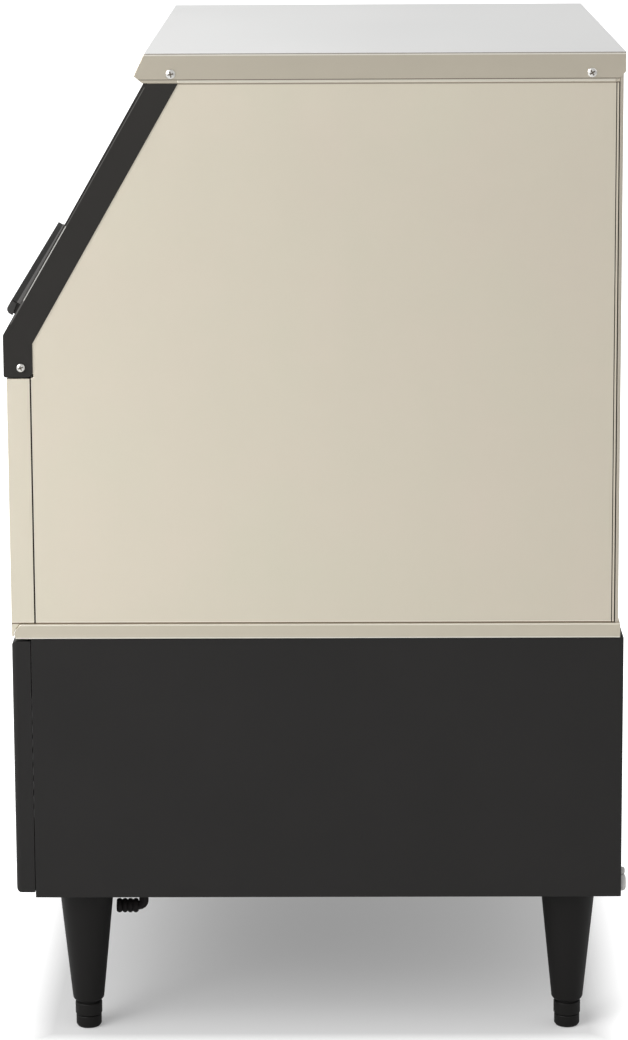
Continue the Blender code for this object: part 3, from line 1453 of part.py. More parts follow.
def fan_rotor(looks):
    """Hub on the motor's shaft with twisted blades."""
    x, front_d, z = fan_centre()
    deep = ROTOR_DEEP
    bore = FAN_SHAFT + TOUCH
    ring = [(bore, 0), (ROTOR_HUB, 0), (ROTOR_HUB, deep), (bore, deep)]
    made = turned("fan_rotor", ring, (0, 0, 0), "Y", ROUND_MID, ring=True)
    for number in range(BLADE_COUNT):
        shape = bmesh.new()
        bmesh.ops.create_cube(shape, size=1)
        root = ROTOR_HUB * BLADE_ROOT_SHARE
        span = ROTOR_RADIUS - root
        chord = deep / math.sin(math.radians(BLADE_TWIST)) * BLADE_CHORD_SHARE
        bmesh.ops.scale(shape, vec=(span, BLADE_THICK, chord), verts=shape.verts)
        for vert in shape.verts:
            tip = vert.co.x > 0
            turn = BLADE_TWIST if tip else BLADE_TWIST * BLADE_PITCH_SHARE
            scale = BLADE_TIP_SHARE if tip else BLADE_ROOT_SHARE
            spun = Matrix.Rotation(math.radians(turn), 3, "X") @ Vector((0, vert.co.y, vert.co.z * scale))
            vert.co.y, vert.co.z = spun.y, spun.z
        bmesh.ops.translate(shape, vec=(root + span / 2, deep / 2, 0), verts=shape.verts)
        around = Matrix.Rotation(2 * math.pi * number / BLADE_COUNT, 4, "Y")
        bmesh.ops.transform(shape, matrix=around, verts=shape.verts)
        join(made, from_bmesh("blade", shape))
    made.location = (x, back(front_d + 3 * SLACK), z)
    return settle(made, looks["aluminium"])


def compressor(looks):
    """Domed can on a mounting plate."""
    profile = [(0, 0)]
    profile += [(COMP_RADIUS * wide, COMP_HIGH * high) for wide, high in COMP_DOME_SHARES]
    foot = COMP_FOOT_Z + COMP_PLATE / 2
    made = turned("compressor", profile, (COMP_X, back(COMP_D), foot), "Z", ROUND_FINE)
    half = COMP_PLATE_HALF
    plate = block(
        "plate",
        COMP_X - half,
        COMP_X + half,
        COMP_D - half,
        COMP_D + half,
        COMP_FOOT_Z,
        COMP_FOOT_Z + COMP_PLATE,
    )
    join(made, plate)
    return settle(made, looks["compressor"], smooth=True)


def filter_drier(looks):
    """Copper cartridge in the liquid line, with its inlet tube from the condenser's other end."""
    radius, half = DRIER_RADIUS, DRIER_LONG / 2
    profile = [(0, -half), (DRIER_NECK, -half)]
    profile += [(radius * wide, half * high) for wide, high in DRIER_SHARES]
    profile += [(DRIER_NECK, half), (0, half)]
    made = turned("filter_drier", profile, (DRIER_X, back(DRIER_D), DRIER_Z), "Y", ROUND_MID)
    outlet_d = COND_FRONT_D + COND_DEEP / 2
    outlet_x, turn_x = COND_LEFT_X - TOUCH, COND_LEFT_X - DRIER_LOOP
    turn_d = DRIER_D - half - DRIER_LOOP
    path = [
        (outlet_x, back(outlet_d), DRIER_Z),
        (turn_x, back(outlet_d), DRIER_Z),
        (turn_x, back(turn_d), DRIER_Z),
        (DRIER_X, back(turn_d), DRIER_Z),
        (DRIER_X, back(DRIER_D - half + DRIER_NECK), DRIER_Z),
    ]
    join(made, swept("inlet", rounded_path(path, 3 * LIQUID_RADIUS), LIQUID_RADIUS))
    return settle(made, looks["copper"], smooth=True)


def discharge_tube(looks):
    """From the compressor's front forward and across to the condenser's end."""
    height = compressor_port_z(COMP_DISCHARGE_SHARE)
    mid_d = COND_FRONT_D + COND_DEEP / 2
    start = (COMP_X, back(COMP_D - COMP_RADIUS - TOUCH), height)
    path = [start, (COMP_X, back(mid_d), height), (COND_RIGHT_X + TOUCH, back(mid_d), height)]
    made = swept("discharge_tube", rounded_path(path, TUBE_BEND), DISCHARGE_RADIUS)
    return settle(made, looks["copper"], start, smooth=True)


def liquid_tube(looks):
    """From the drier back and up behind the bin, then forward to the coil's top end."""
    start = (DRIER_X, back(DRIER_D + DRIER_LONG / 2 + TOUCH), DRIER_Z)
    turn = (DRIER_X, back(RISER_D), DRIER_Z)
    path = [start, turn] + liquid_riser()
    made = swept("liquid_tube", rounded_path(path, TUBE_BEND), LIQUID_RADIUS)
    return settle(made, looks["copper"], start, smooth=True)


def suction_tube(looks):
    """From the compressor's rear back and across, then up behind the bin to the coil's low end."""
    height = compressor_port_z(COMP_SUCTION_SHARE)
    start = (COMP_X, back(COMP_D + COMP_RADIUS + TOUCH), height)
    path = [start, (COMP_X, back(RISER_D), height)] + suction_riser()
    made = swept("suction_tube", rounded_path(path, TUBE_BEND), SUCTION_RADIUS)
    return settle(made, looks["copper"], start, smooth=True)


# Controls, inlets and outlets


def control_box(looks):
    """Box behind the grille panel, open at a window where the switch sits."""
    front_d = KICK_D + GRILLE_THICK + TOUCH
    made = block(
        "control_box",
        BOX_LEFT_X,
        BOX_RIGHT_X,
        front_d,
        front_d + BOX_DEEP,
        BOX_FOOT_Z,
        BOX_FOOT_Z + BOX_HIGH,
    )
    half_x, half_z = SWITCH_WIDE / 2 + TOUCH, SWITCH_HIGH / 2 + TOUCH + SLACK
    nest = block(
        "nest",
        SWITCH_X - half_x,
        SWITCH_X + half_x,
        front_d - OVERRUN,
        front_d + SWITCH_DEEP + SLACK,
        SWITCH_Z - half_z,
        SWITCH_Z + half_z,
    )
    cut(made, nest)
    return settle(made, looks["steel"])


def power_switch(looks):
    """Two-way rocker, resting with its lower half in."""
    pivot_d = KICK_D + GRILLE_THICK
    half = SWITCH_HIGH / 2
    crown = GRILLE_THICK + SWITCH_PROUD
    outline = []
    for reach, rise in SWITCH_SHARES:
        span = SWITCH_DEEP if reach > 0 else crown
        outline.append((pivot_d + span * reach, SWITCH_Z + half * rise))
    made = prism("power_switch", outline, SWITCH_X - SWITCH_WIDE / 2, SWITCH_X + SWITCH_WIDE / 2)
    return settle(made, looks["switch"], (SWITCH_X, back(pivot_d), SWITCH_Z))


def cord_gland(looks):
    """Cord inlet in the rear panel, a flange outside and a body inside."""
    body, bore, flange = GLAND_RADIUS, GLAND_BORE, GLAND_FLANGE
    reach = GLAND_PROUD
    inside = -(BASE_SHEET + 3 * GLAND_PROUD)
    profile = [(bore, inside), (body, inside), (body, TOUCH)]
    profile += [(flange, TOUCH), (flange, reach), (bore, reach)]
    centre = (GLAND_X, back(BASE_BACK_D), GLAND_Z)
    made = turned("cord_gland", profile, centre, "Y", ROUND_MID, ring=True)
    return settle(made, looks["rubber"], smooth=True)


def water_valve(looks):
    """Inlet nipple through the rear panel, valve body and a coil on top."""
    nipple, bore = VALVE_NIPPLE, VALVE_BORE
    reach = GLAND_PROUD
    body_face = -(BASE_SHEET + TOUCH)
    centre = (VALVE_X, back(BASE_BACK_D), VALVE_Z)
    made = rod("water_valve", nipple, centre, body_face - VALVE_BODY / 2, reach, "Y", ROUND_MID)
    front_d = BASE_BACK_D + body_face - VALVE_LONG
    rear_d = BASE_BACK_D + body_face
    half = VALVE_BODY * VALVE_BODY_SHARE
    left, right = VALVE_X - half, VALVE_X + half
    join(made, block("body", left, right, front_d, rear_d, VALVE_Z - half, VALVE_Z + half))
    coil_place = (VALVE_X, back((front_d + rear_d) / 2), VALVE_Z)
    coil_top = half + VALVE_LONG * VALVE_COIL_SHARE
    join(made, rod("coil", VALVE_COIL, coil_place, half - SLACK, coil_top, "Z", ROUND_MID))
    cut(made, hole(bore, centre, body_face - VALVE_BODY, reach + OVERRUN, "Y", ROUND_LOW))
    return settle(made, looks["white"], smooth=True)


# Ice plate and its water system


def evaporator(looks):
    """Plate with open cups at its front and two cheeks that carry it from the bin's rear wall."""
    face, rear_d = PLATE_FACE_D, PLATE_FACE_D + PLATE_THICK
    foot, top = PLATE_FOOT_Z, PLATE_FOOT_Z + PLATE_HIGH
    made = block("evaporator", -PLATE_HALF, PLATE_HALF, face, rear_d, foot, top)
    wide = (2 * PLATE_HALF - CUP_WALL) / CUP_COLUMNS
    high = (PLATE_HIGH - CUP_WALL) / CUP_ROWS
    for column in range(CUP_COLUMNS):
        left = -PLATE_HALF + CUP_WALL + column * wide
        for row in range(CUP_ROWS):
            low = foot + CUP_WALL + row * high
            right, upper = left + wide - CUP_WALL, low + high - CUP_WALL
            cut(made, block("cup", left, right, face - OVERRUN, face + CUP_DEEP, low, upper))
    cheek_foot, cheek_top = foot - CHEEK_DROP, top + CHEEK_RISE
    hinge_z = curtain_hinge_z()
    for side, sign in SIDES:
        low, high_x = sorted((sign * (PLATE_HALF - TOUCH), sign * (PLATE_HALF + CHEEK)))
        cheek = block("cheek", low, high_x, CHEEK_FRONT_D, BIN_BACK_D - TOUCH, cheek_foot, cheek_top)
        join(made, cheek)
    centre = (0, back(CURTAIN_D), hinge_z)
    cut(made, hole(CURTAIN_PIN + TOUCH, centre, -WIDTH, WIDTH, "X", ROUND_MID))
    return settle(made, looks["plate"])


def evaporator_coil(looks):
    """Serpentine tube behind the plate; both ends turn back toward the wall."""
    y = back(PLATE_FACE_D + PLATE_THICK + TOUCH + COIL_RADIUS)
    heights = coil_heights()
    end_y = y + COIL_REACH
    path = [(SUCTION_X, end_y, heights[0]), (SUCTION_X, y, heights[0])]
    sign = 1 if COIL_PASSES % 2 == 0 else -1
    for height in heights:
        if height != heights[0]:
            path.append((-sign * COIL_HALF, y, height))
        if height != heights[-1]:
            path.append((sign * COIL_HALF, y, height))
        sign = -sign
    path += [(LIQUID_X, y, heights[-1]), (LIQUID_X, end_y, heights[-1])]
    bend = PLATE_HIGH / COIL_PASSES / 2 - TOUCH
    made = swept("evaporator_coil", rounded_path(path, bend * COIL_BEND_SHARE), COIL_RADIUS)
    return settle(made, looks["copper"], path[0], smooth=True)


def water_distributor(looks):
    """Spray tube across the top of the plate with a capped end and a feed spigot."""
    half = PLATE_HALF - 2 * TOUCH
    centre = (0, back(SPRAY_D), PLATE_FOOT_Z + PLATE_HIGH + SPRAY_RISE - TOUCH)
    made = rod("water_distributor", SPRAY_RADIUS, centre, -half, half, "X", ROUND_LOW)
    cut(made, hole(SPRAY_BORE, centre, -half - OVERRUN, half - WALL, "X", ROUND_LOW))
    return settle(made, looks["white"], centre, smooth=True)


def curtain_hinge_z():
    return PLATE_FOOT_Z + PLATE_HIGH + CHEEK_RISE / 2


def water_curtain(looks):
    """Thin flap in front of the cups, hung on two stub pins."""
    hinge_z = curtain_hinge_z()
    half = PLATE_HALF - CURTAIN_SIDE_GAP
    thin = CURTAIN_THICK / 2
    head = CURTAIN_PIN + TOUCH
    foot = PLATE_FOOT_Z - CHEEK_DROP / 2
    made = block("water_curtain", -half, half, CURTAIN_D - thin, CURTAIN_D + thin, foot, hinge_z + head)
    reach = PLATE_HALF + CHEEK
    centre = (0, back(CURTAIN_D), hinge_z)
    join(made, rod("pins", CURTAIN_PIN, centre, -reach, reach, "X", ROUND_LOW))
    return settle(made, looks["clear"], centre)


def water_trough(looks):
    """Open trough under the plate, held at the bin's rear wall, with the float's guide rod."""
    foot, top = TROUGH_FOOT_Z, TROUGH_FOOT_Z + TROUGH_HIGH
    back_d = BIN_BACK_D - TOUCH
    wall = TROUGH_WALL
    made = block("water_trough", TROUGH_LEFT_X, TROUGH_RIGHT_X, TROUGH_FRONT_D, back_d, foot, top)
    hollow = block(
        "hollow",
        TROUGH_LEFT_X + wall,
        TROUGH_RIGHT_X - wall,
        TROUGH_FRONT_D + wall,
        back_d - wall,
        foot + wall,
        top + OVERRUN,
    )
    cut(made, hollow)
    centre = (FLOAT_X, back(FLOAT_D), foot + wall)
    step_radius = FLOAT_ROD + 2 * FLOAT_BORE_GAP
    rod_top = FLOAT_STEP + FLOAT_HIGH + FLOAT_TRAVEL + 2 * TOUCH
    profile = [
        (0, -wall / 2),
        (step_radius, -wall / 2),
        (step_radius, FLOAT_STEP),
        (FLOAT_ROD, FLOAT_STEP),
        (FLOAT_ROD, rod_top),
        (step_radius, rod_top),
        (step_radius, rod_top + FLOAT_STEP),
        (0, rod_top + FLOAT_STEP),
    ]
    join(made, turned("guide", profile, centre, "Z", ROUND_LOW))
    return settle(made, looks["white"])


def float_ring(looks):
    bore = FLOAT_ROD + FLOAT_BORE_GAP
    low = TROUGH_FOOT_Z + TROUGH_WALL + FLOAT_STEP + TOUCH
    profile = [(bore, 0), (FLOAT_RADIUS, 0), (FLOAT_RADIUS, FLOAT_HIGH), (bore, FLOAT_HIGH)]
    made = turned("float", profile, (FLOAT_X, back(FLOAT_D), low), "Z", ROUND_MID, ring=True)
    return settle(made, looks["float"], smooth=True)


def water_pump(looks):
    """Motor on a plate across the trough's rim, a stem and the impeller bell in the water."""
    seat = TROUGH_FOOT_Z + TROUGH_HIGH + TOUCH
    plate = PUMP_PLATE
    bell_foot = TROUGH_FOOT_Z + TROUGH_WALL + 2 * PUMP_PLATE - seat
    bell_top = bell_foot + PUMP_BELL_HIGH
    motor_foot = plate + PUMP_PLATE
    motor_top = motor_foot + PUMP_MOTOR_HIGH
    profile = [
        (0, bell_foot),
        (PUMP_BELL, bell_foot),
        (PUMP_BELL, bell_top),
        (PUMP_STEM, bell_top + PUMP_PLATE),
        (PUMP_STEM, plate),
    ]
    for wide, high in PUMP_MOTOR_SHARES:
        profile.append((PUMP_MOTOR_RADIUS * wide, motor_foot + PUMP_MOTOR_HIGH * high))
    profile.append((0, motor_top))
    made = turned("water_pump", profile, (PUMP_X, back(PUMP_D), seat), "Z", ROUND_MID)
    half = PUMP_PLATE_HALF
    plate_box = block(
        "plate",
        PUMP_X - half,
        PUMP_X + half,
        TROUGH_FRONT_D,
        BIN_BACK_D - TOUCH,
        seat,
        seat + plate,
    )
    join(made, plate_box)
    return settle(made, looks["white"], smooth=True)


def make_looks():
    return {
        "stainless": material("stainless", (0.66, 0.62, 0.53), 0.38, 1.0),
        "cap": material("cap_stainless", (0.62, 0.60, 0.55), 0.36, 1.0),
        "bezel": material("bezel_black", (0.032, 0.030, 0.027), 0.48, 0.0),
        "door": material("door_black", (0.030, 0.029, 0.027), 0.45, 0.0),
        "black": material("satin_black", (0.028, 0.027, 0.026), 0.42, 0.1),
        "leg": material("leg_black", (0.020, 0.019, 0.018), 0.5, 0.0),
        "rubber": material("rubber", (0.018, 0.016, 0.016), 0.75, 0.0),
        "steel": material("steel", (0.60, 0.59, 0.57), 0.35, 1.0),
        "foam": material("foam", (0.80, 0.74, 0.55), 0.9, 0.0),
        "liner": material("bin_liner", (0.72, 0.74, 0.75), 0.5, 0.0),
        "pale": material("pale_plastic", (0.62, 0.62, 0.62), 0.5, 0.0),
        "aluminium": material("aluminium", (0.72, 0.73, 0.74), 0.4, 1.0),
        "compressor": material("compressor_black", (0.02, 0.02, 0.02), 0.4, 0.3),
        "copper": material("copper", (0.72, 0.38, 0.25), 0.3, 1.0),
        "switch": material("switch_green", (0.04, 0.25, 0.10), 0.4, 0.0),
        "white": material("white_plastic", (0.78, 0.78, 0.76), 0.5, 0.0),
        "plate": material("plated_copper", (0.70, 0.69, 0.66), 0.3, 1.0),
        "clear": material("curtain_plastic", (0.62, 0.68, 0.72), 0.3, 0.0),
        "float": material("float_blue", (0.10, 0.22, 0.45), 0.5, 0.0),
    }


def build():
    clear_scene()
    looks = make_looks()
    top_panel(looks)
    for side, sign in SIDES:
        side_panel(side, sign, looks)
        base_side(side, sign, looks)
        hinge_pin(side, sign, looks)
        rear_spacer(side, sign, looks)
    for piece in (
        rear_panel,
        deck_tray,
        front_panel,
        foam_insulation,
        bin_liner,
        bin_drain,
        door_frame,
        door_shell,
        door_foam,
        door_liner,
        door_gasket,
        door_handle,
        screws,
        base_rear_panel,
        base_pan,
        grille_panel,
        drain_elbow,
        drain_cap,
        condenser,
        fan_shroud,
        fan_motor,
        fan_rotor,
        compressor,
        filter_drier,
        discharge_tube,
        liquid_tube,
        suction_tube,
        control_box,
        power_switch,
        cord_gland,
        water_valve,
        evaporator,
        evaporator_coil,
        water_distributor,
        water_curtain,
        water_trough,
        float_ring,
        water_pump,
    ):
        piece(looks)
    for place, x, depth in leg_places():
        leg(place, x, depth, looks)
        levelling_foot(place, x, depth, looks)


build()
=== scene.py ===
# %% [markdown]
# # Undercounter ice maker
# A free-standing ice maker: an insulated stainless cabinet with a slanted bin door stands on a
# black machinery base with four tapered legs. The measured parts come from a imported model, the
# frame, and this lesson dresses them: rounded sheet edges, turned legs, screws, tubes and the
# finish of every surface. Lengths are metres, +Z is up and -Y is the front.

import json
import math

import bmesh
import bpy
from mathutils import Matrix, Vector


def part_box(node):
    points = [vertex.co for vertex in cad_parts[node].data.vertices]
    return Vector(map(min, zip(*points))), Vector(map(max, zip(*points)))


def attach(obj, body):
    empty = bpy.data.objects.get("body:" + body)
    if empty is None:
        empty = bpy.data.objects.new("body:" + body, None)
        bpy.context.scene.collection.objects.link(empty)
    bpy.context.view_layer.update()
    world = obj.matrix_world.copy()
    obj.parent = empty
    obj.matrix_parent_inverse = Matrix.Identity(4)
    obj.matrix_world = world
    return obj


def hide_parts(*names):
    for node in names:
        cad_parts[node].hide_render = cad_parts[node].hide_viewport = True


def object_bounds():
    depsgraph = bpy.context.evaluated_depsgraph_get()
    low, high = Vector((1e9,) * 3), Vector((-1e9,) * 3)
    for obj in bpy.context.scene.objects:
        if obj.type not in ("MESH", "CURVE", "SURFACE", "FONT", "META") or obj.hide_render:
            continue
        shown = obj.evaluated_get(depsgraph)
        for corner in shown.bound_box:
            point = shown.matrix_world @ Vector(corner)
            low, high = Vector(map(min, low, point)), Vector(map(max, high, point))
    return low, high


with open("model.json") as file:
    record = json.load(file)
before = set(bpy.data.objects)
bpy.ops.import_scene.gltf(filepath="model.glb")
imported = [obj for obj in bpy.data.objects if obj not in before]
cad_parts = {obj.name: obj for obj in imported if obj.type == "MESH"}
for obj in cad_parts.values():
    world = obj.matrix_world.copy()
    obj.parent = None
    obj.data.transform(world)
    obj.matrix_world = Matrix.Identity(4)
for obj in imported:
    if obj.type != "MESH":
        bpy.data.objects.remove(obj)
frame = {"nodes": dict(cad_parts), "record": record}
bpy.ops.object.select_all(action="DESELECT")
cad_low, cad_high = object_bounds()
MACHINE_HIGH = cad_high.z - cad_low.z
bodies = frame["record"]["behaviour"]["bodies"]
node_body = {node: body for body, nodes in bodies.items() for node in nodes}
print("frame", len(frame["nodes"]), "nodes, height", round(MACHINE_HIGH, 4))

# %% [markdown]
# ## Writing shader maths as sums
# A finish is mostly arithmetic on patterns: a grain plus a stain, times a share. Nodes can be
# linked one by one, but a sum is easier to read. This class wraps one socket, and its operators
# add the Math nodes. Colours and other nodes go through the method `node`.


# %% A socket that can be added and multiplied
class Wire:
    """One output socket of a material's node tree."""

    def __init__(self, tree, socket=None):
        self.tree = tree
        self.socket = socket

    def node(self, kind, inputs=None, output=0, **settings):
        """Adds a node, sets it up, feeds it values or wires, and returns one of its outputs."""
        made = self.tree.nodes.new(kind)
        stops = settings.pop("stops", None)
        for name, value in settings.items():
            setattr(made, name, value)
        if stops:
            while len(made.color_ramp.elements) < len(stops):
                made.color_ramp.elements.new(0.5)
            for element, (place, colour) in zip(made.color_ramp.elements, stops):
                element.position = place
                element.color = (*colour, 1.0)
        for name, value in (inputs or {}).items():
            if isinstance(value, Wire):
                self.tree.links.new(value.socket, made.inputs[name])
            else:
                made.inputs[name].default_value = value
        return Wire(self.tree, made.outputs[output])

    def maths(self, operation, first, second=0.0):
        return self.node("ShaderNodeMath", {0: first, 1: second}, operation=operation)

    def __add__(self, other):
        return self.maths("ADD", self, other)

    __radd__ = __add__

    def __sub__(self, other):
        return self.maths("SUBTRACT", self, other)

    def __rsub__(self, other):
        return self.maths("SUBTRACT", other, self)

    def __mul__(self, other):
        return self.maths("MULTIPLY", self, other)

    __rmul__ = __mul__

    def __gt__(self, other):
        return self.maths("GREATER_THAN", self, other)


print("a wire can be added, subtracted, multiplied and compared")

# %% [markdown]
# ## Helpers for finishes
# Every surface here is read in Object coordinates, which are the machine's own metres because
# each piece sits at the origin. Noise gives the small uneven cast of rolled steel, the skin of
# powder paint or the grain of a moulding. A stretched noise gives brushing.


# %% Start a finish, and make noise for it
def new_finish(name, roughness, metallic=0.0):
    """An empty finish: the material, its shader and the wire of its Object coordinates."""
    look = bpy.data.materials.new(name)
    look.use_nodes = True
    shader = look.node_tree.nodes["Principled BSDF"]
    shader.inputs["Roughness"].default_value = roughness
    shader.inputs["Metallic"].default_value = metallic
    place = Wire(look.node_tree).node("ShaderNodeTexCoord", output="Object")
    return look, shader, place


def noise(place, size, detail=2.0, stretch=(1, 1, 1), roughness=0.5):
    """Soft noise from 0 to 1 whose grains are about size metres, longer along a stretched axis."""
    scaled = place.node(
        "ShaderNodeMapping", {"Vector": place, "Scale": [1 / (size * long) for long in stretch]}
    )
    inputs = {"Vector": scaled, "Scale": 1.0, "Detail": detail, "Roughness": roughness}
    return scaled.node("ShaderNodeTexNoise", inputs)


def axis_of(place, number):
    """One coordinate of a place: 0 is x, 1 is y and 2 is z."""
    return place.node("ShaderNodeSeparateXYZ", {"Vector": place}, output=number)


def blended(wire, share, first, second, kind="MIX"):
    """Two colours, wires or values, blended by a share; the wire gives the tree."""
    inputs = {0: share, 6: first, 7: second}
    return wire.node("ShaderNodeMix", inputs, output=2, data_type="RGBA", blend_type=kind)


def mixed(share, first, second):
    """Colour between two colours by a share from 0 to 1."""
    return blended(share, share, (*first, 1), (*second, 1))


def feed(shader, name, wire):
    """Links a wire to one of the shader's sockets."""
    wire.tree.links.new(wire.socket, shader.inputs[name])


def bump(shader, height, distance, strength=1.0):
    """Small relief: height from 0 to 1 stands for distance metres."""
    inputs = {"Height": height, "Distance": distance, "Strength": strength}
    feed(shader, "Normal", height.node("ShaderNodeBump", inputs))


print("helpers: a new finish, noise, blending, feeding a socket, bump")


# %% [markdown]
# ## Stainless sheet
# The cabinet is brushed stainless steel. In the photograph it is a warm, nearly even beige with
# a faint cast of rose and of green, because it mirrors a pale room very softly. Metal has no
# colour of its own below its mirror, so that soft reflection is painted into the base colour, a
# mottle between two colours that is a painted reflection, and the brushing goes to roughness and
# a very low relief.


# %% A brushed steel
BRUSH_SIZE, STREAK_SIZE, SPOT_SIZE, CLOUD_SIZE = 0.0009, 0.045, 0.055, 0.19
BRUSH_RELIEF, BRUSH_STRENGTH = 0.00003, 0.35
BRUSH_ROUGH, CLOUD_ROUGH = 0.10, 0.06
CLOUD_SHARE, STREAK_SHARE, SPOT_SHARE, SHARE_DROP = 0.6, 0.25, 0.35, 0.1
# The next two lines set the painted sheen: a painted reflection, lighter up and toward the front.
SHEET_MIDDLE, PALER_UP, PALER_FRONT = 0.70, 1.4, 0.6
DARKER, PALER = (0.90, 0.90, 0.90), (1.12, 1.12, 1.12)


def stainless(name, base, cast, along, rough=0.36, bands=(), painted_sheen=0.0):
    """Brushed steel: along is the stretch of its brushing on the three axes.

    Each band is (low height, high height, colour): a level band of painted highlight or shade.
    The last argument paints a sheen, a painted reflection lighter toward the top and front edge.
    """
    look, shader, place = new_finish(name, rough, 1.0)
    brushing = noise(place, BRUSH_SIZE, 3.0, along, 0.65)
    streaks = noise(place, STREAK_SIZE, 2.0, along)
    clouds = noise(place, CLOUD_SIZE, 1.5)
    spots = noise(place, SPOT_SIZE, 2.0)
    # Clouds and spots mottle the colour between base and cast, a painted reflection of a pale room;
    # the streaks along the brushing are the sheet's own.
    share = clouds * CLOUD_SHARE + streaks * STREAK_SHARE + spots * SPOT_SHARE - SHARE_DROP
    height, depth = axis_of(place, 2), axis_of(place, 1)
    # Painted sheen: the colour lighter toward the top and front, a painted reflection.
    paler = ((height - SHEET_MIDDLE) * PALER_UP - depth * PALER_FRONT) * painted_sheen + 0.5
    sheen_tone = mixed(paler, DARKER, PALER)
    colour = blended(place, 1.0, mixed(share, base, cast), sheen_tone, "MULTIPLY")
    # Each band lays its painted highlight or painted shade over the steel between two heights.
    for low, high, tint in bands:
        inside = (height > low) - (height > high)
        colour = blended(place, inside, colour, (*tint, 1))
    feed(shader, "Base Color", colour)
    smoothest = rough - (BRUSH_ROUGH + CLOUD_ROUGH) / 2
    feed(shader, "Roughness", brushing * BRUSH_ROUGH + clouds * CLOUD_ROUGH + smoothest)
    bump(shader, brushing, BRUSH_RELIEF, BRUSH_STRENGTH)
    return look


print("brushing", BRUSH_SIZE, "m wide")

# %% [markdown]
# ## Painted highlights and shade along bends and joints
# A folded edge mirrors a bright strip of the room, and a joint below it lies in its own shade.
# Both run level round the cabinet, so a band between two heights paints them: a painted
# highlight, a painted shade, and a painted sheen on the cap's top face.

# %% The painted bands and the steels
UPRIGHT_GRAIN, LEVEL_GRAIN, NO_GRAIN = (1, 1, 60), (1, 60, 1), (1, 1, 1)
# Colours of the painted bands: painted shade, painted highlights and a painted sheen.
JOINT_PAINTED_SHADE, JOINT_PAINTED_HIGHLIGHT, CAP_SHADE = (0.24, 0.19, 0.14), (0.84, 0.78, 0.66), (0.45, 0.39, 0.31)
BEND_PAINTED_HIGHLIGHT, BEND_SHADE, TOP_PAINTED_SHEEN = (0.90, 0.86, 0.77), (0.36, 0.32, 0.28), (0.93, 0.93, 0.92)
HEM_SHADE, BELT_FOOT_PAINTED_HIGHLIGHT, BELT_EDGE_PAINTED_HIGHLIGHT = (0.30, 0.26, 0.21), (0.80, 0.77, 0.69), (0.84, 0.79, 0.68)
TOP_Z = MACHINE_HIGH
CAP_FOOT_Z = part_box("top_panel")[0][2]
BELT_LOW_Z, BELT_TOP_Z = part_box("deck_tray")[0][2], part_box("deck_tray")[1][2]
JOINT_HIGH, JOINT_EDGE_HIGH, CAP_SHADE_HIGH, CAP_LAP = 0.0013, 0.0022, 0.0016, 0.0002
BRIGHT_DOWN, SHADE_DOWN, PALE_DOWN, ABOVE_TOP = 0.0026, 0.0012, 0.0004, 0.01
HEM_HIGH, HEM_LINE_HIGH = 0.0028, 0.0009
BELT_FOOT_HIGH, BELT_EDGE_HIGH, BELT_LAP = 0.0014, 0.0016, 0.001
HEM_Z = CAP_FOOT_Z + HEM_HIGH
# Side: painted shade in the belt joint with a painted highlight above, painted shade below the cap.
side_painted_bands = (
    (BELT_TOP_Z, BELT_TOP_Z + JOINT_HIGH, JOINT_PAINTED_SHADE),
    (BELT_TOP_Z + JOINT_HIGH, BELT_TOP_Z + JOINT_EDGE_HIGH, JOINT_PAINTED_HIGHLIGHT),
    (CAP_FOOT_Z - CAP_SHADE_HIGH, CAP_FOOT_Z + CAP_LAP, CAP_SHADE),
)
# Cap: painted highlight and shade along the top bend, a painted sheen on the top, shade above the
# hem.
cap_painted_bands = (
    (TOP_Z - BRIGHT_DOWN, TOP_Z - SHADE_DOWN, BEND_PAINTED_HIGHLIGHT),
    (TOP_Z - SHADE_DOWN, TOP_Z - PALE_DOWN, BEND_SHADE),
    (TOP_Z - PALE_DOWN, TOP_Z + ABOVE_TOP, TOP_PAINTED_SHEEN),
    (HEM_Z, HEM_Z + HEM_LINE_HIGH, HEM_SHADE),
)
# Belt: painted highlights along its lower and upper edges.
belt_painted_bands = (
    (BELT_LOW_Z - BELT_LAP, BELT_LOW_Z + BELT_FOOT_HIGH, BELT_FOOT_PAINTED_HIGHLIGHT),
    (BELT_TOP_Z - BELT_EDGE_HIGH, BELT_TOP_Z + BELT_LAP, BELT_EDGE_PAINTED_HIGHLIGHT),
)
SIDE_BASE, SIDE_CAST = (0.805, 0.715, 0.605), (0.735, 0.71, 0.572)
CAP_BASE, CAP_CAST = (0.665, 0.60, 0.497), (0.597, 0.555, 0.45)
BELT_BASE, BELT_CAST = (0.625, 0.57, 0.467), (0.573, 0.532, 0.435)
# The hem's steel is much lighter than the cap it is folded from: a painted highlight.
HEM_BASE, HEM_CAST = (0.86, 0.81, 0.70), (0.80, 0.76, 0.65)
REAR_BASE, REAR_CAST = (0.59, 0.53, 0.45), (0.53, 0.495, 0.41)
PLAIN_BASE, PLAIN_CAST = (0.80, 0.79, 0.76), (0.70, 0.69, 0.66)
# The side sheet carries the painted sheen.
side_steel = stainless(
    "side_stainless", SIDE_BASE, SIDE_CAST, UPRIGHT_GRAIN, bands=side_painted_bands, painted_sheen=1.0
)
cap_steel = stainless("cap_stainless", CAP_BASE, CAP_CAST, LEVEL_GRAIN, 0.33, cap_painted_bands)
hem_steel_painted_highlight = stainless("hem_stainless_painted_highlight", HEM_BASE, HEM_CAST, LEVEL_GRAIN, 0.33)
belt_steel = stainless("belt_stainless", BELT_BASE, BELT_CAST, LEVEL_GRAIN, 0.34, belt_painted_bands)
rear_steel = stainless("rear_stainless", REAR_BASE, REAR_CAST, UPRIGHT_GRAIN, 0.40)
plain_steel = stainless("plated_steel", PLAIN_BASE, PLAIN_CAST, NO_GRAIN, 0.28)
print("steels", 6, "with bands", len(side_painted_bands) + len(cap_painted_bands) + len(belt_painted_bands))

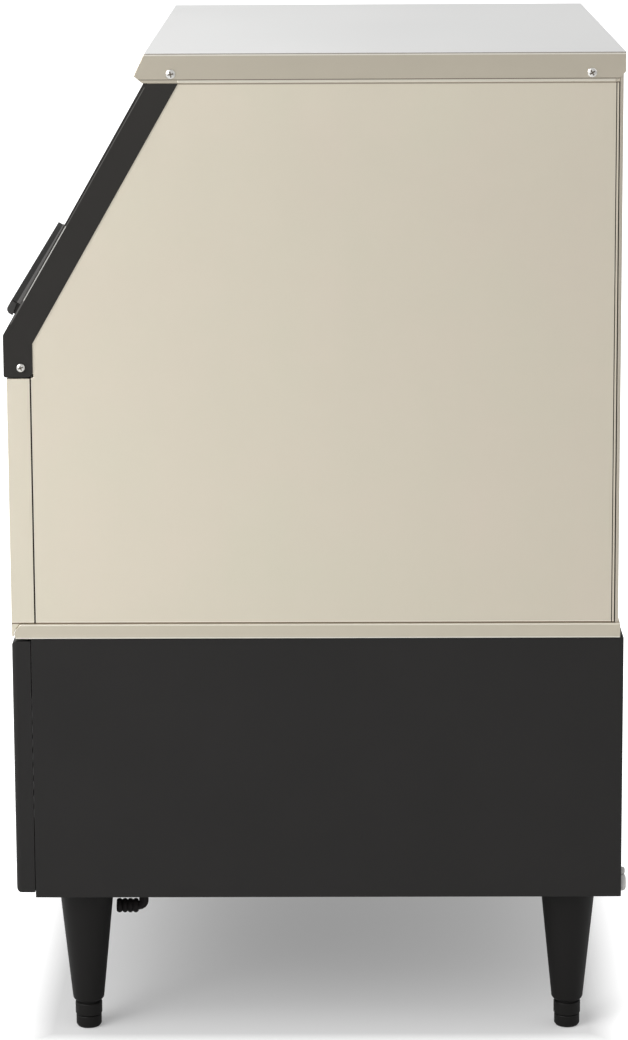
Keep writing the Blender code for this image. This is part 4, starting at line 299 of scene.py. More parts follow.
# %% [markdown]
# ## Painted and moulded black
# The base is powder-coated sheet: nearly black, a little warm, with the faint orange-peel skin
# that such paint has. The door frame and the legs are mouldings with a finer, drier grain. The
# lighter, grey and brown copies below are painted light: painted highlights on the handle and
# the frame's rim, painted shade in the screw recesses and the panel joints.


# %% Black finishes
FINE_GRAIN, FINE_RELIEF, MOTTLE_SIZE = 0.0007, 0.00005, 0.09
MOTTLE_ROUGH, SKIN_ROUGH = 0.12, 0.06


def black(name, dark, light, rough, grain=FINE_GRAIN, depth=FINE_RELIEF, gloss=0.25):
    """Paint or moulding: mottled between two near-black colours, with a grained skin."""
    look, shader, place = new_finish(name, rough)
    shader.inputs["Specular IOR Level"].default_value = gloss
    skin = noise(place, grain, 3.0)
    clouds = noise(place, MOTTLE_SIZE, 3.0)
    feed(shader, "Base Color", mixed(clouds, dark, light))
    smoothest = rough - (MOTTLE_ROUGH + SKIN_ROUGH) / 2
    feed(shader, "Roughness", clouds * MOTTLE_ROUGH + skin * SKIN_ROUGH + smoothest)
    bump(shader, skin, depth, 0.5)
    return look


powder_black = black(
    "powder_black", (0.0095, 0.0090, 0.0085), (0.0135, 0.0125, 0.0120), 0.42, 0.0016, 0.00006
)
bezel_black = black("bezel_black", (0.0150, 0.0135, 0.0120), (0.0190, 0.0175, 0.0155), 0.50)
door_black = black("door_black", (0.017, 0.016, 0.015), (0.022, 0.020, 0.019), 0.46)
handle_black = black("handle_black", (0.018, 0.017, 0.016), (0.025, 0.023, 0.021), 0.55, gloss=0.12)
# Painted light: lighter copies of the handle's black for its ledge, which faces up, and its end
# blocks; the two edge finishes are painted highlights on the frame's rim.
handle_grey_painted_light = black("handle_grey_painted_light", (0.12, 0.115, 0.11), (0.18, 0.17, 0.165), 0.50, gloss=0.4)
nose_black_painted_light = black("nose_black_painted_light", (0.038, 0.037, 0.035), (0.048, 0.046, 0.044), 0.48, gloss=0.4)
edge_grey = black("edge_grey", (0.07, 0.068, 0.064), (0.10, 0.096, 0.09), 0.45, gloss=0.4)
edge_pale = black("edge_pale", (0.36, 0.35, 0.33), (0.48, 0.47, 0.45), 0.45, gloss=0.4)
leg_black = black(
    "leg_black", (0.0065, 0.0060, 0.0056), (0.0090, 0.0084, 0.0080), 0.50, 0.0009, 0.00004, 0.18
)
soft_black = black(
    "soft_rubber", (0.0060, 0.0050, 0.0050), (0.0100, 0.0080, 0.0080), 0.72, 0.0006, 0.00008
)
enamel_black = black(
    "enamel_black", (0.010, 0.010, 0.010), (0.016, 0.016, 0.016), 0.30, 0.0022, 0.00004, 0.5
)
# Painted shade: a dark brown for the floor of each screw's recess.
recess_painted_shade = black(
    "recess_painted_shade", (0.10, 0.08, 0.06), (0.15, 0.12, 0.09), 0.60, 0.0005, 0.00003
)
# Painted shade: a dark brown for the strips in the panel joints.
seam_painted_shade = black(
    "seam_painted_shade", (0.012, 0.008, 0.005), (0.018, 0.012, 0.008), 0.80, depth=0.00003, gloss=0.1
)
print("dark finishes", 13)

# %% [markdown]
# ## Plastics, foam and bright metal
# The bin and the water parts are pale food-grade mouldings, the ice plate is plated copper, and
# the tubes are bare copper. They show through the open door and the slots at the back.


# %% Pale and coloured finishes
MOULD_SIZE, MOULD_ROUGH, STAIN_ROUGH = 0.08, 0.10, 0.16


def moulded(name, low, high, rough, grain=0.0011, depth=0.00004):
    """Pale plastic or foam: mottled between two colours, with a fine skin."""
    look, shader, place = new_finish(name, rough)
    clouds = noise(place, MOULD_SIZE, 2.0)
    skin = noise(place, grain, 2.0)
    feed(shader, "Base Color", mixed(clouds, low, high))
    feed(shader, "Roughness", clouds * MOULD_ROUGH + (rough - MOULD_ROUGH / 2))
    bump(shader, skin, depth, 0.4)
    return look


def bare_metal(name, low, high, rough, size=0.02):
    """Unpainted metal whose stain changes its colour and its roughness."""
    look, shader, place = new_finish(name, rough, 1.0)
    stain = noise(place, size, 4.0)
    feed(shader, "Base Color", mixed(stain, low, high))
    feed(shader, "Roughness", stain * STAIN_ROUGH + (rough - STAIN_ROUGH / 2))
    return look


liner_grey = moulded("bin_liner", (0.60, 0.63, 0.65), (0.66, 0.69, 0.71), 0.42)
pale_plastic = moulded("pale_plastic", (0.46, 0.45, 0.44), (0.55, 0.54, 0.52), 0.45)
white_plastic = moulded("white_plastic", (0.66, 0.66, 0.63), (0.73, 0.73, 0.71), 0.40)
switch_green = moulded("switch_green", (0.02, 0.16, 0.06), (0.03, 0.22, 0.08), 0.25)
float_blue = moulded("float_blue", (0.07, 0.17, 0.36), (0.10, 0.23, 0.46), 0.60, 0.0012, 0.0003)
foam_cream = moulded("foam", (0.62, 0.54, 0.34), (0.72, 0.65, 0.46), 0.85, 0.0016, 0.0006)
copper = bare_metal("copper", (0.62, 0.29, 0.17), (0.74, 0.40, 0.26), 0.30)
aluminium = bare_metal("aluminium", (0.58, 0.59, 0.60), (0.68, 0.69, 0.70), 0.38)
plated = bare_metal("plated_copper", (0.60, 0.59, 0.56), (0.72, 0.71, 0.68), 0.24)
motor_steel = bare_metal("motor_steel", (0.40, 0.40, 0.40), (0.50, 0.50, 0.49), 0.38)
CURTAIN_DARK, CURTAIN_PALE, CURTAIN_CLOUDS = (0.55, 0.63, 0.68), (0.66, 0.72, 0.76), 0.05
CLEAREST, CLOUDIER = 0.50, 0.15


def curtain_sheet():
    """Cloudy, see-through plastic."""
    look, shader, place = new_finish("curtain_plastic", 0.25)
    clouds = noise(place, CURTAIN_CLOUDS, 2.0)
    feed(shader, "Base Color", mixed(clouds, CURTAIN_DARK, CURTAIN_PALE))
    feed(shader, "Alpha", clouds * CLOUDIER + CLEAREST)
    return look


curtain_clear = curtain_sheet()
print("finishes", len(bpy.data.materials))

# %% [markdown]
# ## Giving a shape its finish and its body
# Every visible piece ends the same way: it gets one finish, rides on a body of the frame, so
# that it moves with its joint, and may stand for a measured part. Modifiers are applied at
# once, so each mesh is final when its cell ends.

# %% Helpers for finished pieces
def finish_shape(piece, look, body, *nodes):
    """Gives a piece its finish and its body, and lets it stand for CAD nodes."""
    piece.data.materials.clear()
    piece.data.materials.append(look)
    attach(piece, body)
    if nodes:
        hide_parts(*nodes)
    return piece


def pick(piece):
    """Selects one piece alone."""
    bpy.ops.object.select_all(action="DESELECT")
    piece.select_set(True)
    bpy.context.view_layer.objects.active = piece


def apply(piece, kind, **settings):
    """Adds one modifier, sets it and applies it."""
    pick(piece)
    step = piece.modifiers.new(kind.lower(), kind)
    for name, value in settings.items():
        setattr(step, name, value)
    bpy.ops.object.modifier_apply(modifier=step.name)
    piece.select_set(False)


def shade(piece, angle=40.0):
    """Smooth faces with sharp edges past an angle."""
    pick(piece)
    bpy.ops.object.shade_smooth_by_angle(angle=math.radians(angle))
    apply(piece, "WEIGHTED_NORMAL", keep_sharp=True)


def round_edges(piece, radius, segments=2, angle=30.0):
    """Bevels every edge past an angle."""
    apply(
        piece,
        "BEVEL",
        width=radius,
        segments=segments,
        limit_method="ANGLE",
        angle_limit=math.radians(angle),
        miter_outer="MITER_ARC",
        use_clamp_overlap=True,
    )
    shade(piece)


def middle_of(node):
    """The middle of a measured part's box."""
    low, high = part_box(node)
    return (Vector(low) + Vector(high)) / 2


print("helpers: finish a shape, apply a modifier, shade, round edges")

# %% [markdown]
# ## Copying a measured part
# The frame's nodes are loose triangles with sharp edges, so a copy is merged and its flat faces
# are joined again. A flat face with an opening in it stays as triangles, because one whole face
# can't hold a hole.

# %% Merge a copy
MERGE_WITHIN = 0.000002
FLAT_WITHIN = math.radians(0.5)
RINGED = ("bin_liner", "door_frame", "door_gasket", "evaporator", "water_curtain", "water_valve")


def merged_copy(node):
    """A copy of a CAD node's mesh with its corners merged and its plain flat faces whole."""
    source = frame["nodes"][node]
    piece = bpy.data.objects.new(f"{node}_rounded", source.data.copy())
    bpy.context.scene.collection.objects.link(piece)
    pick(piece)
    bpy.ops.object.mode_set(mode="EDIT")
    bpy.ops.mesh.select_all(action="SELECT")
    bpy.ops.mesh.remove_doubles(threshold=MERGE_WITHIN)
    if node not in RINGED:
        bpy.ops.mesh.dissolve_limited(angle_limit=FLAT_WITHIN)
    bpy.ops.object.mode_set(mode="OBJECT")
    piece.select_set(False)
    return piece


print("parts that stay as triangles", len(RINGED))

# %% [markdown]
# ## Rounded sheet and mouldings
# Bent sheet has a small radius at each bend and a moulding has one on every edge, and it is
# that radius which catches the light. Each copy is bevelled by the radius its part would have.

# %% Round the edges of the copies
ROUNDED = (
    (cap_steel, 0.0013, "top_panel"),
    (side_steel, 0.0004, "side_panel_left", "side_panel_right"),
    (side_steel, 0.0005, "front_panel"),
    (rear_steel, 0.0005, "rear_panel"),
    (belt_steel, 0.0006, "deck_tray"),
    (bezel_black, 0.0012, "door_frame"),
    (door_black, 0.0012, "door_shell"),
    (liner_grey, 0.0006, "door_liner"),
    (soft_black, 0.0012, "door_gasket"),
    (handle_black, 0.0009, "door_handle"),
    (powder_black, 0.0005, "base_side_left", "base_side_right"),
    (powder_black, 0.0003, "base_rear_panel"),
    (powder_black, 0.0004, "base_pan"),
    (liner_grey, 0.0008, "bin_liner"),
    (plain_steel, 0.0010, "control_box"),
    (switch_green, 0.0006, "power_switch"),
    (plated, 0.0003, "evaporator"),
    (white_plastic, 0.0006, "water_trough"),
    (curtain_clear, 0.0004, "water_curtain"),
    (powder_black, 0.0006, "fan_shroud"),
    (aluminium, 0.0004, "fan_rotor"),
    (white_plastic, 0.0005, "water_valve"),
)
for look, radius, *nodes in ROUNDED:
    for node in nodes:
        piece = merged_copy(node)
        round_edges(piece, radius)
        finish_shape(piece, look, node_body[node], node)
        print(node, len(piece.data.polygons), "faces")

# %% [markdown]
# ## Round parts
# Tubes, pins and the drain already have the right shape, in narrow flat strips. A merged copy
# with smooth shading is enough for them.

# %% Smooth the round parts
SMOOTH = (
    (copper, "discharge_tube", "liquid_tube", "suction_tube", "evaporator_coil", "filter_drier"),
    (soft_black, "drain_elbow"),
    (liner_grey, "bin_drain"),
    (white_plastic, "water_distributor"),
    (plain_steel, "hinge_pin_left", "hinge_pin_right"),
)
for look, *nodes in SMOOTH:
    for node in nodes:
        piece = merged_copy(node)
        shade(piece)
        finish_shape(piece, look, node_body[node], node)
    print("smooth", look.name, nodes)

# %% [markdown]
# ## Tracing a line and turning or pulling it
# A turned part starts as one point. The point is extruded along the part's profile, and the
# profile is spun about an axis, as on a lathe. A sheet part starts the same way: its side
# outline is traced, filled and pulled out sideways.


# %% Trace and close
START_SIZE = 0.01


def trace(name, points, closed=False):
    """Starts with a plane merged to one corner and extrudes it from point to point."""
    bpy.ops.object.select_all(action="DESELECT")
    bpy.ops.mesh.primitive_plane_add(size=START_SIZE, location=points[0])
    piece = bpy.context.object
    piece.name = name
    bpy.ops.object.mode_set(mode="EDIT")
    bpy.ops.mesh.select_all(action="SELECT")
    bpy.ops.mesh.merge(type="CENTER")
    for before, after in zip(points, points[1:]):
        step = Vector(after) - Vector(before)
        bpy.ops.mesh.extrude_region_move(TRANSFORM_OT_translate={"value": step})
    bpy.ops.mesh.select_all(action="SELECT")
    if closed:
        bpy.ops.mesh.edge_face_add()
    return piece


def close(piece):
    """Leaves edit mode with the faces turned outward and the object back at the origin."""
    bpy.ops.mesh.select_all(action="SELECT")
    bpy.ops.mesh.normals_make_consistent(inside=False)
    bpy.ops.object.mode_set(mode="OBJECT")
    bpy.ops.object.transform_apply(location=True, rotation=True, scale=True)
    piece.select_set(False)
    return piece


print("helpers: trace and close")

# %% [markdown]
# ## Turned, pulled and bevelled shapes
# With tracing at hand, a lathe is one spin operator and a pulled sheet is one extrusion. The
# third helper makes the small bars and plates: a box whose every edge is bevelled.


# %% Turn, pull and bevel
WELD_WITHIN = 0.000005


def turned(name, profile, centre, axis="Z", steps=56):
    """Spins a profile of (radius, along) points about an axis through a centre."""
    along = {"X": Vector((1, 0, 0)), "Y": Vector((0, 1, 0)), "Z": Vector((0, 0, 1))}[axis]
    side = Vector((1, 0, 0)) if axis != "X" else Vector((0, 0, 1))
    points = [Vector(centre) + side * radius + along * height for radius, height in profile]
    piece = trace(name, points)
    bpy.ops.mesh.spin(steps=steps, angle=math.tau, center=centre, axis=along)
    bpy.ops.mesh.select_all(action="SELECT")
    bpy.ops.mesh.remove_doubles(threshold=WELD_WITHIN)
    return close(piece)


def pulled(name, outline, low_x, high_x):
    """Fills a side outline of (y, z) points and pulls it from low_x to high_x."""
    piece = trace(name, [(low_x, y, z) for y, z in outline], closed=True)
    step = (high_x - low_x, 0, 0)
    bpy.ops.mesh.extrude_region_move(TRANSFORM_OT_translate={"value": step})
    return close(piece)


def box_between(name, low, high):
    """A box at its size and place, left open in edit mode with all of it selected."""
    middle = [(a + b) / 2 for a, b in zip(low, high)]
    size = [b - a for a, b in zip(low, high)]
    bpy.ops.object.select_all(action="DESELECT")
    bpy.ops.mesh.primitive_cube_add(size=1, location=middle, scale=size)
    piece = bpy.context.object
    piece.name = name
    bpy.ops.object.transform_apply(location=True, rotation=True, scale=True)
    bpy.ops.object.mode_set(mode="EDIT")
    bpy.ops.mesh.select_all(action="SELECT")
    return piece


def bar(name, low, high, radius):
    """A box with every edge bevelled."""
    piece = box_between(name, low, high)
    bpy.ops.mesh.bevel(offset=radius, segments=2, affect="EDGES")
    return close(piece)


print("helpers: turn, pull, bar")

# %% [markdown]
# ## Copying, joining and cutting
# What repeats is modelled once and copied, each copy with its own mesh. A mirrored copy has its
# faces turned back outward. Holes are cut with a second shape, which is then thrown away.


# %% Copy, join and cut
def twin(piece, name, matrix):
    """A copy with a mesh of its own, moved by a matrix."""
    copy = bpy.data.objects.new(name, piece.data.copy())
    bpy.context.scene.collection.objects.link(copy)
    copy.data.transform(matrix)
    if matrix.determinant() < 0:
        copy.data.flip_normals()
    return copy


def join(pieces):
    """Makes one object of several."""
    pick(pieces[0])
    for piece in pieces:
        piece.select_set(True)
    bpy.ops.object.join()
    pieces[0].select_set(False)
    return pieces[0]


def subtract(piece, cutter):
    """Cuts one shape out of another and removes the cutter."""
    apply(piece, "BOOLEAN", object=cutter, operation="DIFFERENCE", solver="EXACT")
    bpy.data.objects.remove(cutter)


print("helpers: twin, join, subtract")

# %% [markdown]
# ## Legs and levelling feet
# Each leg is a tapered moulding with a small chamfer at its mouth, and a stud above that goes
# through the pan. The foot below has a collar, a groove and a rounded pad, on a stem that
# slides in the leg's bore.

# %% Turn one leg and one foot, and copy them
LEG_PLACES = ("front_left", "front_right", "rear_left", "rear_right")
LEG_PROFILE = [
    (0, 0.1000), (0.0066, 0.1000), (0.0066, 0.0286), (0.0142, 0.0286), (0.0157, 0.0306),
    (0.0277, 0.1502), (0.0277, 0.1532), (0.0048, 0.1532), (0.0048, 0.1662), (0, 0.1662),
]
FOOT_PROFILE = [
    (0, 0.0), (0.0095, 0.0), (0.0115, 0.0005), (0.0128, 0.0026), (0.0128, 0.0116),
    (0.0124, 0.0122), (0.0112, 0.0124), (0.0112, 0.0131), (0.0130, 0.0133), (0.0135, 0.0140),
    (0.0135, 0.0250), (0.0128, 0.0258), (0.0112, 0.0259), (0.0112, 0.0283), (0.0060, 0.0283),
    (0.0060, 0.0850), (0, 0.0850),
]
LEG_ROUND = 0.0005
leg = turned("leg", LEG_PROFILE, (0, 0, 0))
foot = turned("foot", FOOT_PROFILE, (0, 0, 0))
round_edges(leg, LEG_ROUND)
shade(foot, 30)
for place in LEG_PLACES:
    centre = middle_of(f"leg_{place}")
    spot = Matrix.Translation((centre.x, centre.y, 0))
    for kind, shape in (("leg", leg), ("foot", foot)):
        node = f"{kind}_{place}"
        copy = twin(shape, f"turned_{node}", spot)
        finish_shape(copy, leg_black, node_body[node], node)
for piece in (leg, foot):
    bpy.data.objects.remove(piece)
print("legs and feet", 2 * len(LEG_PLACES))

# %% [markdown]
# ## Screws with a cross recess
# A pan head is a turned dome on a shank. Two thin crossed bars cut the recess, and a dark cross on
# its floor is painted shade.


# %% One screw and its recess
SHANK = [(0, -0.0100), (0.0020, -0.0100), (0.0020, 0)]
DOME = [(1.00, 0.0), (1.00, 0.0008), (0.95, 0.0013), (0.82, 0.0018), (0.60, 0.0022)]
DOME += [(0.30, 0.0024), (0, 0.0024)]
ARM_LONG, ARM_WIDE, ARM_ROUND = 0.62, 0.13, 0.0001
RECESS_FLOOR, RECESS_OPEN = 0.0011, 0.0040
FLOOR_LONG, FLOOR_SLIM, FLOOR_BACK, FLOOR_FRONT, FLOOR_STEP = 0.58, 5, 0.0008, 0.0015, 0.00001


def cross_screw(radius):
    """Screw along X with its head's seat at the origin, head outward."""
    profile = SHANK + [(radius * wide, high) for wide, high in DOME]
    screw = turned("screw", profile, (0, 0, 0), "X", 40)
    for long_y, long_z in ((ARM_LONG, ARM_WIDE), (ARM_WIDE, ARM_LONG)):
        half_y, half_z = radius * long_y, radius * long_z
        low, high = (RECESS_FLOOR, -half_y, -half_z), (RECESS_OPEN, half_y, half_z)
        subtract(screw, bar("cutter", low, high, ARM_ROUND))
    shade(screw, 35)
    return screw


def recess_floor(radius):
    """The dark crossed floor of a screw's recess, painted shade deep in it, one arm a hair above
    the other.
    """
    half, slim, front = radius * FLOOR_LONG, radius * FLOOR_LONG / FLOOR_SLIM, FLOOR_FRONT
    floors = [
        bar("recess", (FLOOR_BACK, -half, -slim), (front, half, slim), ARM_ROUND),
        bar("recess", (FLOOR_BACK, -slim, -half), (front + FLOOR_STEP, slim, half), ARM_ROUND),
    ]
    return join(floors)


CAP_SCREW_RADIUS, FRAME_SCREW_RADIUS = 0.0048, 0.0042
big, small = cross_screw(CAP_SCREW_RADIUS), cross_screw(FRAME_SCREW_RADIUS)
big_floor, small_floor = recess_floor(CAP_SCREW_RADIUS), recess_floor(FRAME_SCREW_RADIUS)
print("screw", len(big.data.polygons), "faces")

# %% [markdown]
# ## Six screws
# Four screws hold the cap's side flanges and two hold the door frame. Each is turned a little
# differently, as a fitter leaves them, and the left side gets mirrored copies.

# %% Copy the screws to their places
SCREW_SEAT_X = 0.3053
for kind, head, floor_piece, turn in (
    ("cap_screw_front", big, big_floor, 12),
    ("cap_screw_rear", big, big_floor, 32),
    ("frame_screw", small, small_floor, 20),
):
    for side, sign in (("left", -1), ("right", 1)):
        node = f"{kind}_{side}"
        centre = middle_of(node)
        spot = Matrix.Translation((sign * SCREW_SEAT_X, centre.y, centre.z))
        spot = spot @ Matrix.Scale(sign, 4, (1, 0, 0))
        spot = spot @ Matrix.Rotation(math.radians(turn), 4, "X")
        finish_shape(twin(head, f"cross_{node}", spot), plain_steel, "cabinet", node)
        # The dark cross in each recess is painted shade.
        finish_shape(twin(floor_piece, f"recess_{node}", spot), recess_painted_shade, "cabinet")
for piece in (big, small, big_floor, small_floor):
    bpy.data.objects.remove(piece)
print("screws", 6)

# %% [markdown]
# ## Grille panel
# The front panel below the belt is a tray of sheet. It starts as a box whose front rim is
# rounded, and a smaller box hollows it from behind, which leaves the plate and its returns.

# %% The panel without its slots
PANEL_LOW, PANEL_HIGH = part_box("grille_panel")
PLATE_THICK, PANEL_WALL, PROUD, RIM_ROUND = 0.006, 0.0028, 0.004, 0.005
RIM_REACH, HOLLOW_ROUND = 0.001, 0.0004
panel = box_between("slotted_grille_panel", PANEL_LOW, PANEL_HIGH)
bpy.ops.mesh.select_mode(type="EDGE")
shape = bmesh.from_edit_mesh(panel.data)
for edge in shape.edges:
    edge.select_set(all(vert.co.y < PANEL_LOW[1] + RIM_REACH for vert in edge.verts))
bmesh.update_edit_mesh(panel.data)
bpy.ops.mesh.bevel(offset=RIM_ROUND, segments=5, affect="EDGES")
bpy.ops.mesh.select_mode(type="VERT")
close(panel)
hollow_low = [PANEL_LOW[0] + PANEL_WALL, PANEL_LOW[1] + PLATE_THICK, PANEL_LOW[2] + PANEL_WALL]
hollow_high = [PANEL_HIGH[0] - PANEL_WALL, PANEL_HIGH[1] + PROUD, PANEL_HIGH[2] - PANEL_WALL]
subtract(panel, bar("hollow", hollow_low, hollow_high, HOLLOW_ROUND))
print("hollow panel", len(panel.data.polygons), "faces")

# %% [markdown]
# ## Slots
# Three bays of slots with round ends let the air in, and they rise toward the back so that
# nothing drips in. All slots are one cutter, made from a single slot and its copies, and the
# panel is cut once. A last cut makes the switch's window.


# %% Cut the slots
def slot_cutter(left, right, foot, high, front, rear, drop):
    """A slot with round ends that rises by drop from front to rear."""
    radius = high / 2
    outline = []
    for centre_x, start in ((right - radius, -90), (left + radius, 90)):
        for step in range(7):
            angle = math.radians(start + 30 * step)
            z = foot + radius + radius * math.sin(angle)
            outline.append((centre_x + radius * math.cos(angle), front, z))
    piece = trace("slot", outline, closed=True)
    step = (0, rear - front, drop)
    bpy.ops.mesh.extrude_region_move(TRANSFORM_OT_translate={"value": step})
    return close(piece)


SLOT_HALF, SLOT_BAR, SLOT_ROWS, SLOT_PITCH, SLOT_HIGH = 0.240, 0.010, 10, 0.015, 0.009
SLOT_BAYS = 3
SLOT_FOOT = PANEL_LOW[2] + 0.028 - PROUD
CUT_FRONT, CUT_LONG = PANEL_LOW[1] - PROUD, PLATE_THICK + 2 * PROUD
bay = (2 * SLOT_HALF - 2 * SLOT_BAR) / SLOT_BAYS
slot_right, cut_rear = bay - SLOT_HALF, PANEL_LOW[1] + CUT_LONG - PROUD
slot = slot_cutter(-SLOT_HALF, slot_right, SLOT_FOOT, SLOT_HIGH, CUT_FRONT, cut_rear, CUT_LONG)
slots = []
for row in range(SLOT_ROWS):
    for column in range(SLOT_BAYS):
        spot = Matrix.Translation((column * (bay + SLOT_BAR), 0, row * SLOT_PITCH))
        slots.append(twin(slot, f"slot_{row}_{column}", spot))
bpy.data.objects.remove(slot)
subtract(panel, join(slots))
SWITCH_LOW, SWITCH_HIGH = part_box("power_switch")
SWITCH_GAP_X, SWITCH_GAP_Z, WINDOW_ROUND = 0.0003, 0.0020, 0.0008
window_rear = PANEL_LOW[1] + CUT_LONG
window_low = (SWITCH_LOW[0] - SWITCH_GAP_X, CUT_FRONT, SWITCH_LOW[2] - SWITCH_GAP_Z)
window_high = (SWITCH_HIGH[0] + SWITCH_GAP_X, window_rear, SWITCH_HIGH[2] + SWITCH_GAP_Z)
subtract(panel, bar("window", window_low, window_high, WINDOW_ROUND))
shade(panel, 35)
finish_shape(panel, powder_black, "cabinet", "grille_panel")
print("grille panel", SLOT_ROWS * SLOT_BAYS, "slots,", len(panel.data.polygons), "faces")

# %% [markdown]
# ## Cap hem and panel seams
# The lower edge of the cap's side flange is folded back on itself, which leaves a thin proud
# hem, in a lighter steel that is a painted highlight. The joint between the front panel's return
# and each side panel gets a thin dark brown strip of painted shade with a pale strip of painted
# highlight beside it, and two more dark strips of painted shade run near each side's rear edge.

# %% Hems and seams
CAP_LOW, CAP_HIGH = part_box("top_panel")
PANEL_FRONT_Y, PANEL_REAR_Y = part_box("front_panel")[1][1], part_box("side_panel_right")[1][1]
BEZEL_LOW, BEZEL_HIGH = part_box("door_frame")
SEAM_FOOT, SEAM_TOP = BELT_TOP_Z + 0.0003, BEZEL_HIGH[2] + 0.0001
SEAM_WIDE, SEAM_BROAD, SEAM_END = 0.0009, 0.0015, BEZEL_LOW[2] - 0.0006
SEAM_Y, EDGE_Y, EDGE_FOOT = PANEL_FRONT_Y - 0.0009, PANEL_FRONT_Y + 0.0007, SEAM_FOOT + 0.0016
REAR_SEAM_Y, LAST_SEAM_Y = PANEL_REAR_Y - 0.0034, PANEL_REAR_Y - 0.0007
HEM_FOOT, HEM_ROUND, SEAM_ROUND = CAP_LOW[2] + 0.0002, 0.0004, 0.0002
HEM_FRONT, HEM_REAR = CAP_LOW[1] + 0.0418, CAP_HIGH[1] - 0.0100
HEM_INNER, HEM_OUTER, SEAM_INNER, SEAM_OUTER = 0.3046, 0.3055, 0.3020, 0.30325
# The dark strips are painted shade in the joints; the steel strip beside the front one is a painted
# highlight.
strips = (
    ("panel_seam_shade", SEAM_Y, SEAM_BROAD, SEAM_FOOT, SEAM_END, seam_painted_shade),
    ("panel_edge_highlight", EDGE_Y, SEAM_WIDE, EDGE_FOOT, SEAM_END, hem_steel_painted_highlight),
    ("rear_seam_shade_0", REAR_SEAM_Y, SEAM_WIDE, SEAM_FOOT, SEAM_TOP, seam_painted_shade),
    ("rear_seam_shade_1", LAST_SEAM_Y, SEAM_WIDE, SEAM_FOOT, SEAM_TOP, seam_painted_shade),
)
for side, sign in (("left", -1), ("right", 1)):
    inner, outer = sorted((sign * HEM_INNER, sign * HEM_OUTER))
    low, high = (inner, HEM_FRONT, HEM_FOOT), (outer, HEM_REAR, HEM_Z)
    # The hem's lighter steel is a painted highlight.
    hem = bar(f"cap_hem_{side}", low, high, HEM_ROUND)
    finish_shape(hem, hem_steel_painted_highlight, "cabinet")
    shade(hem)
    inner, outer = sorted((sign * SEAM_INNER, sign * SEAM_OUTER))
    for name, y, wide, foot_z, top_z, look in strips:
        low, high = (inner, y, foot_z), (outer, y + wide, top_z)
        strip = bar(f"{name}_{side}", low, high, SEAM_ROUND)
        finish_shape(strip, look, "cabinet")
print("hems and seams", 2 + 2 * len(strips))

# %% [markdown]
# ## Drawing on the slanted front
# The door and its frame lean back, so their small parts are drawn in the front's own
# directions: along it downward, and out of it. One function turns such a pair into depth and
# height.

# %% The slanted front
SLOPE = math.radians(29.760)
SLOPE_TOP_Y, SLOPE_TOP_Z = BEZEL_LOW[1] + 0.1386, BEZEL_HIGH[2]


def on_slope(along, out):
    """Depth and height of a point that lies along the slope and out of it."""
    return (
        SLOPE_TOP_Y - math.sin(SLOPE) * along - math.cos(SLOPE) * out,
        SLOPE_TOP_Z - math.cos(SLOPE) * along + math.sin(SLOPE) * out,
    )


def pulled_on_slope(name, outline, ends):
    """Pulls an outline on the slope between two sides."""
    low_x, high_x = sorted(ends)
    return pulled(name, [on_slope(*point) for point in outline], low_x, high_x)


print("slope", round(math.degrees(SLOPE), 2), "degrees from upright")

# %% [markdown]
# ## Handle ends
# The handle is a bent lip along the door's lower edge, with closed ends. A rounded block closes
# each end in a lighter black, and a grey ledge runs along the top between the lip and the door;
# both colours are painted light on the handle's black moulding.

# %% End blocks and ledge
LIP_HALF, LIP_TOP, LIP_FOOT, LIP_RISE, LIP_ROUND = 0.2700, 0.2508, 0.2641, 0.0094, 0.0052
BLOCK_PROUD, BLOCK_DEEP, BLOCK_OVER, BLOCK_ROUND = 0.0005, 0.0020, 0.0001, 0.0004
BLOCK_START, BLOCK_INNER, BLOCK_FOOT_INNER = LIP_TOP + 0.0010, 0.0034, 0.0012
LEDGE_HIGH, LEDGE_LAP, LEDGE_SHORT, LEDGE_ROUND = 0.0006, 0.0004, 0.0005, 0.0002
LEDGE_LOW_OUT, LEDGE_HIGH_OUT = -0.0012, 0.0036
BEND_STEPS = 8
block_rise, block_foot = LIP_RISE + BLOCK_OVER, LIP_FOOT + BLOCK_OVER
block_outline = [(BLOCK_START, BLOCK_INNER), (BLOCK_START, block_rise)]
for step in range(BEND_STEPS + 1):
    angle = math.pi / 2 * step / BEND_STEPS
    along = block_foot - LIP_ROUND + LIP_ROUND * math.sin(angle)
    block_outline.append((along, block_rise - LIP_ROUND + LIP_ROUND * math.cos(angle)))
block_outline.append((block_foot, BLOCK_FOOT_INNER))
for side, sign in (("left", -1), ("right", 1)):
    ends = sign * (LIP_HALF - BLOCK_DEEP), sign * (LIP_HALF + BLOCK_PROUD)
    block = pulled_on_slope(f"handle_block_{side}", block_outline, ends)
    round_edges(block, BLOCK_ROUND)
    # The block's lighter black is painted light.
    finish_shape(block, nose_black_painted_light, "door")
ledge_outline = [
    (LIP_TOP + LEDGE_LAP, LEDGE_LOW_OUT),
    (LIP_TOP - LEDGE_HIGH, LEDGE_LOW_OUT),
    (LIP_TOP - LEDGE_HIGH, LEDGE_HIGH_OUT),
    (LIP_TOP + LEDGE_LAP, LEDGE_HIGH_OUT),
]
ends = LEDGE_SHORT - LIP_HALF, LIP_HALF - LEDGE_SHORT
ledge = pulled_on_slope("handle_ledge", ledge_outline, ends)
round_edges(ledge, LEDGE_ROUND)
# The ledge's grey is painted light where it faces up.
finish_shape(ledge, handle_grey_painted_light, "door")
print("handle blocks and ledge", 3)

# %% [markdown]
# ## Lines on the door frame
# The frame's outer rim catches a thin pale line of light along its length. Three slim strips on
# each side stand for it.

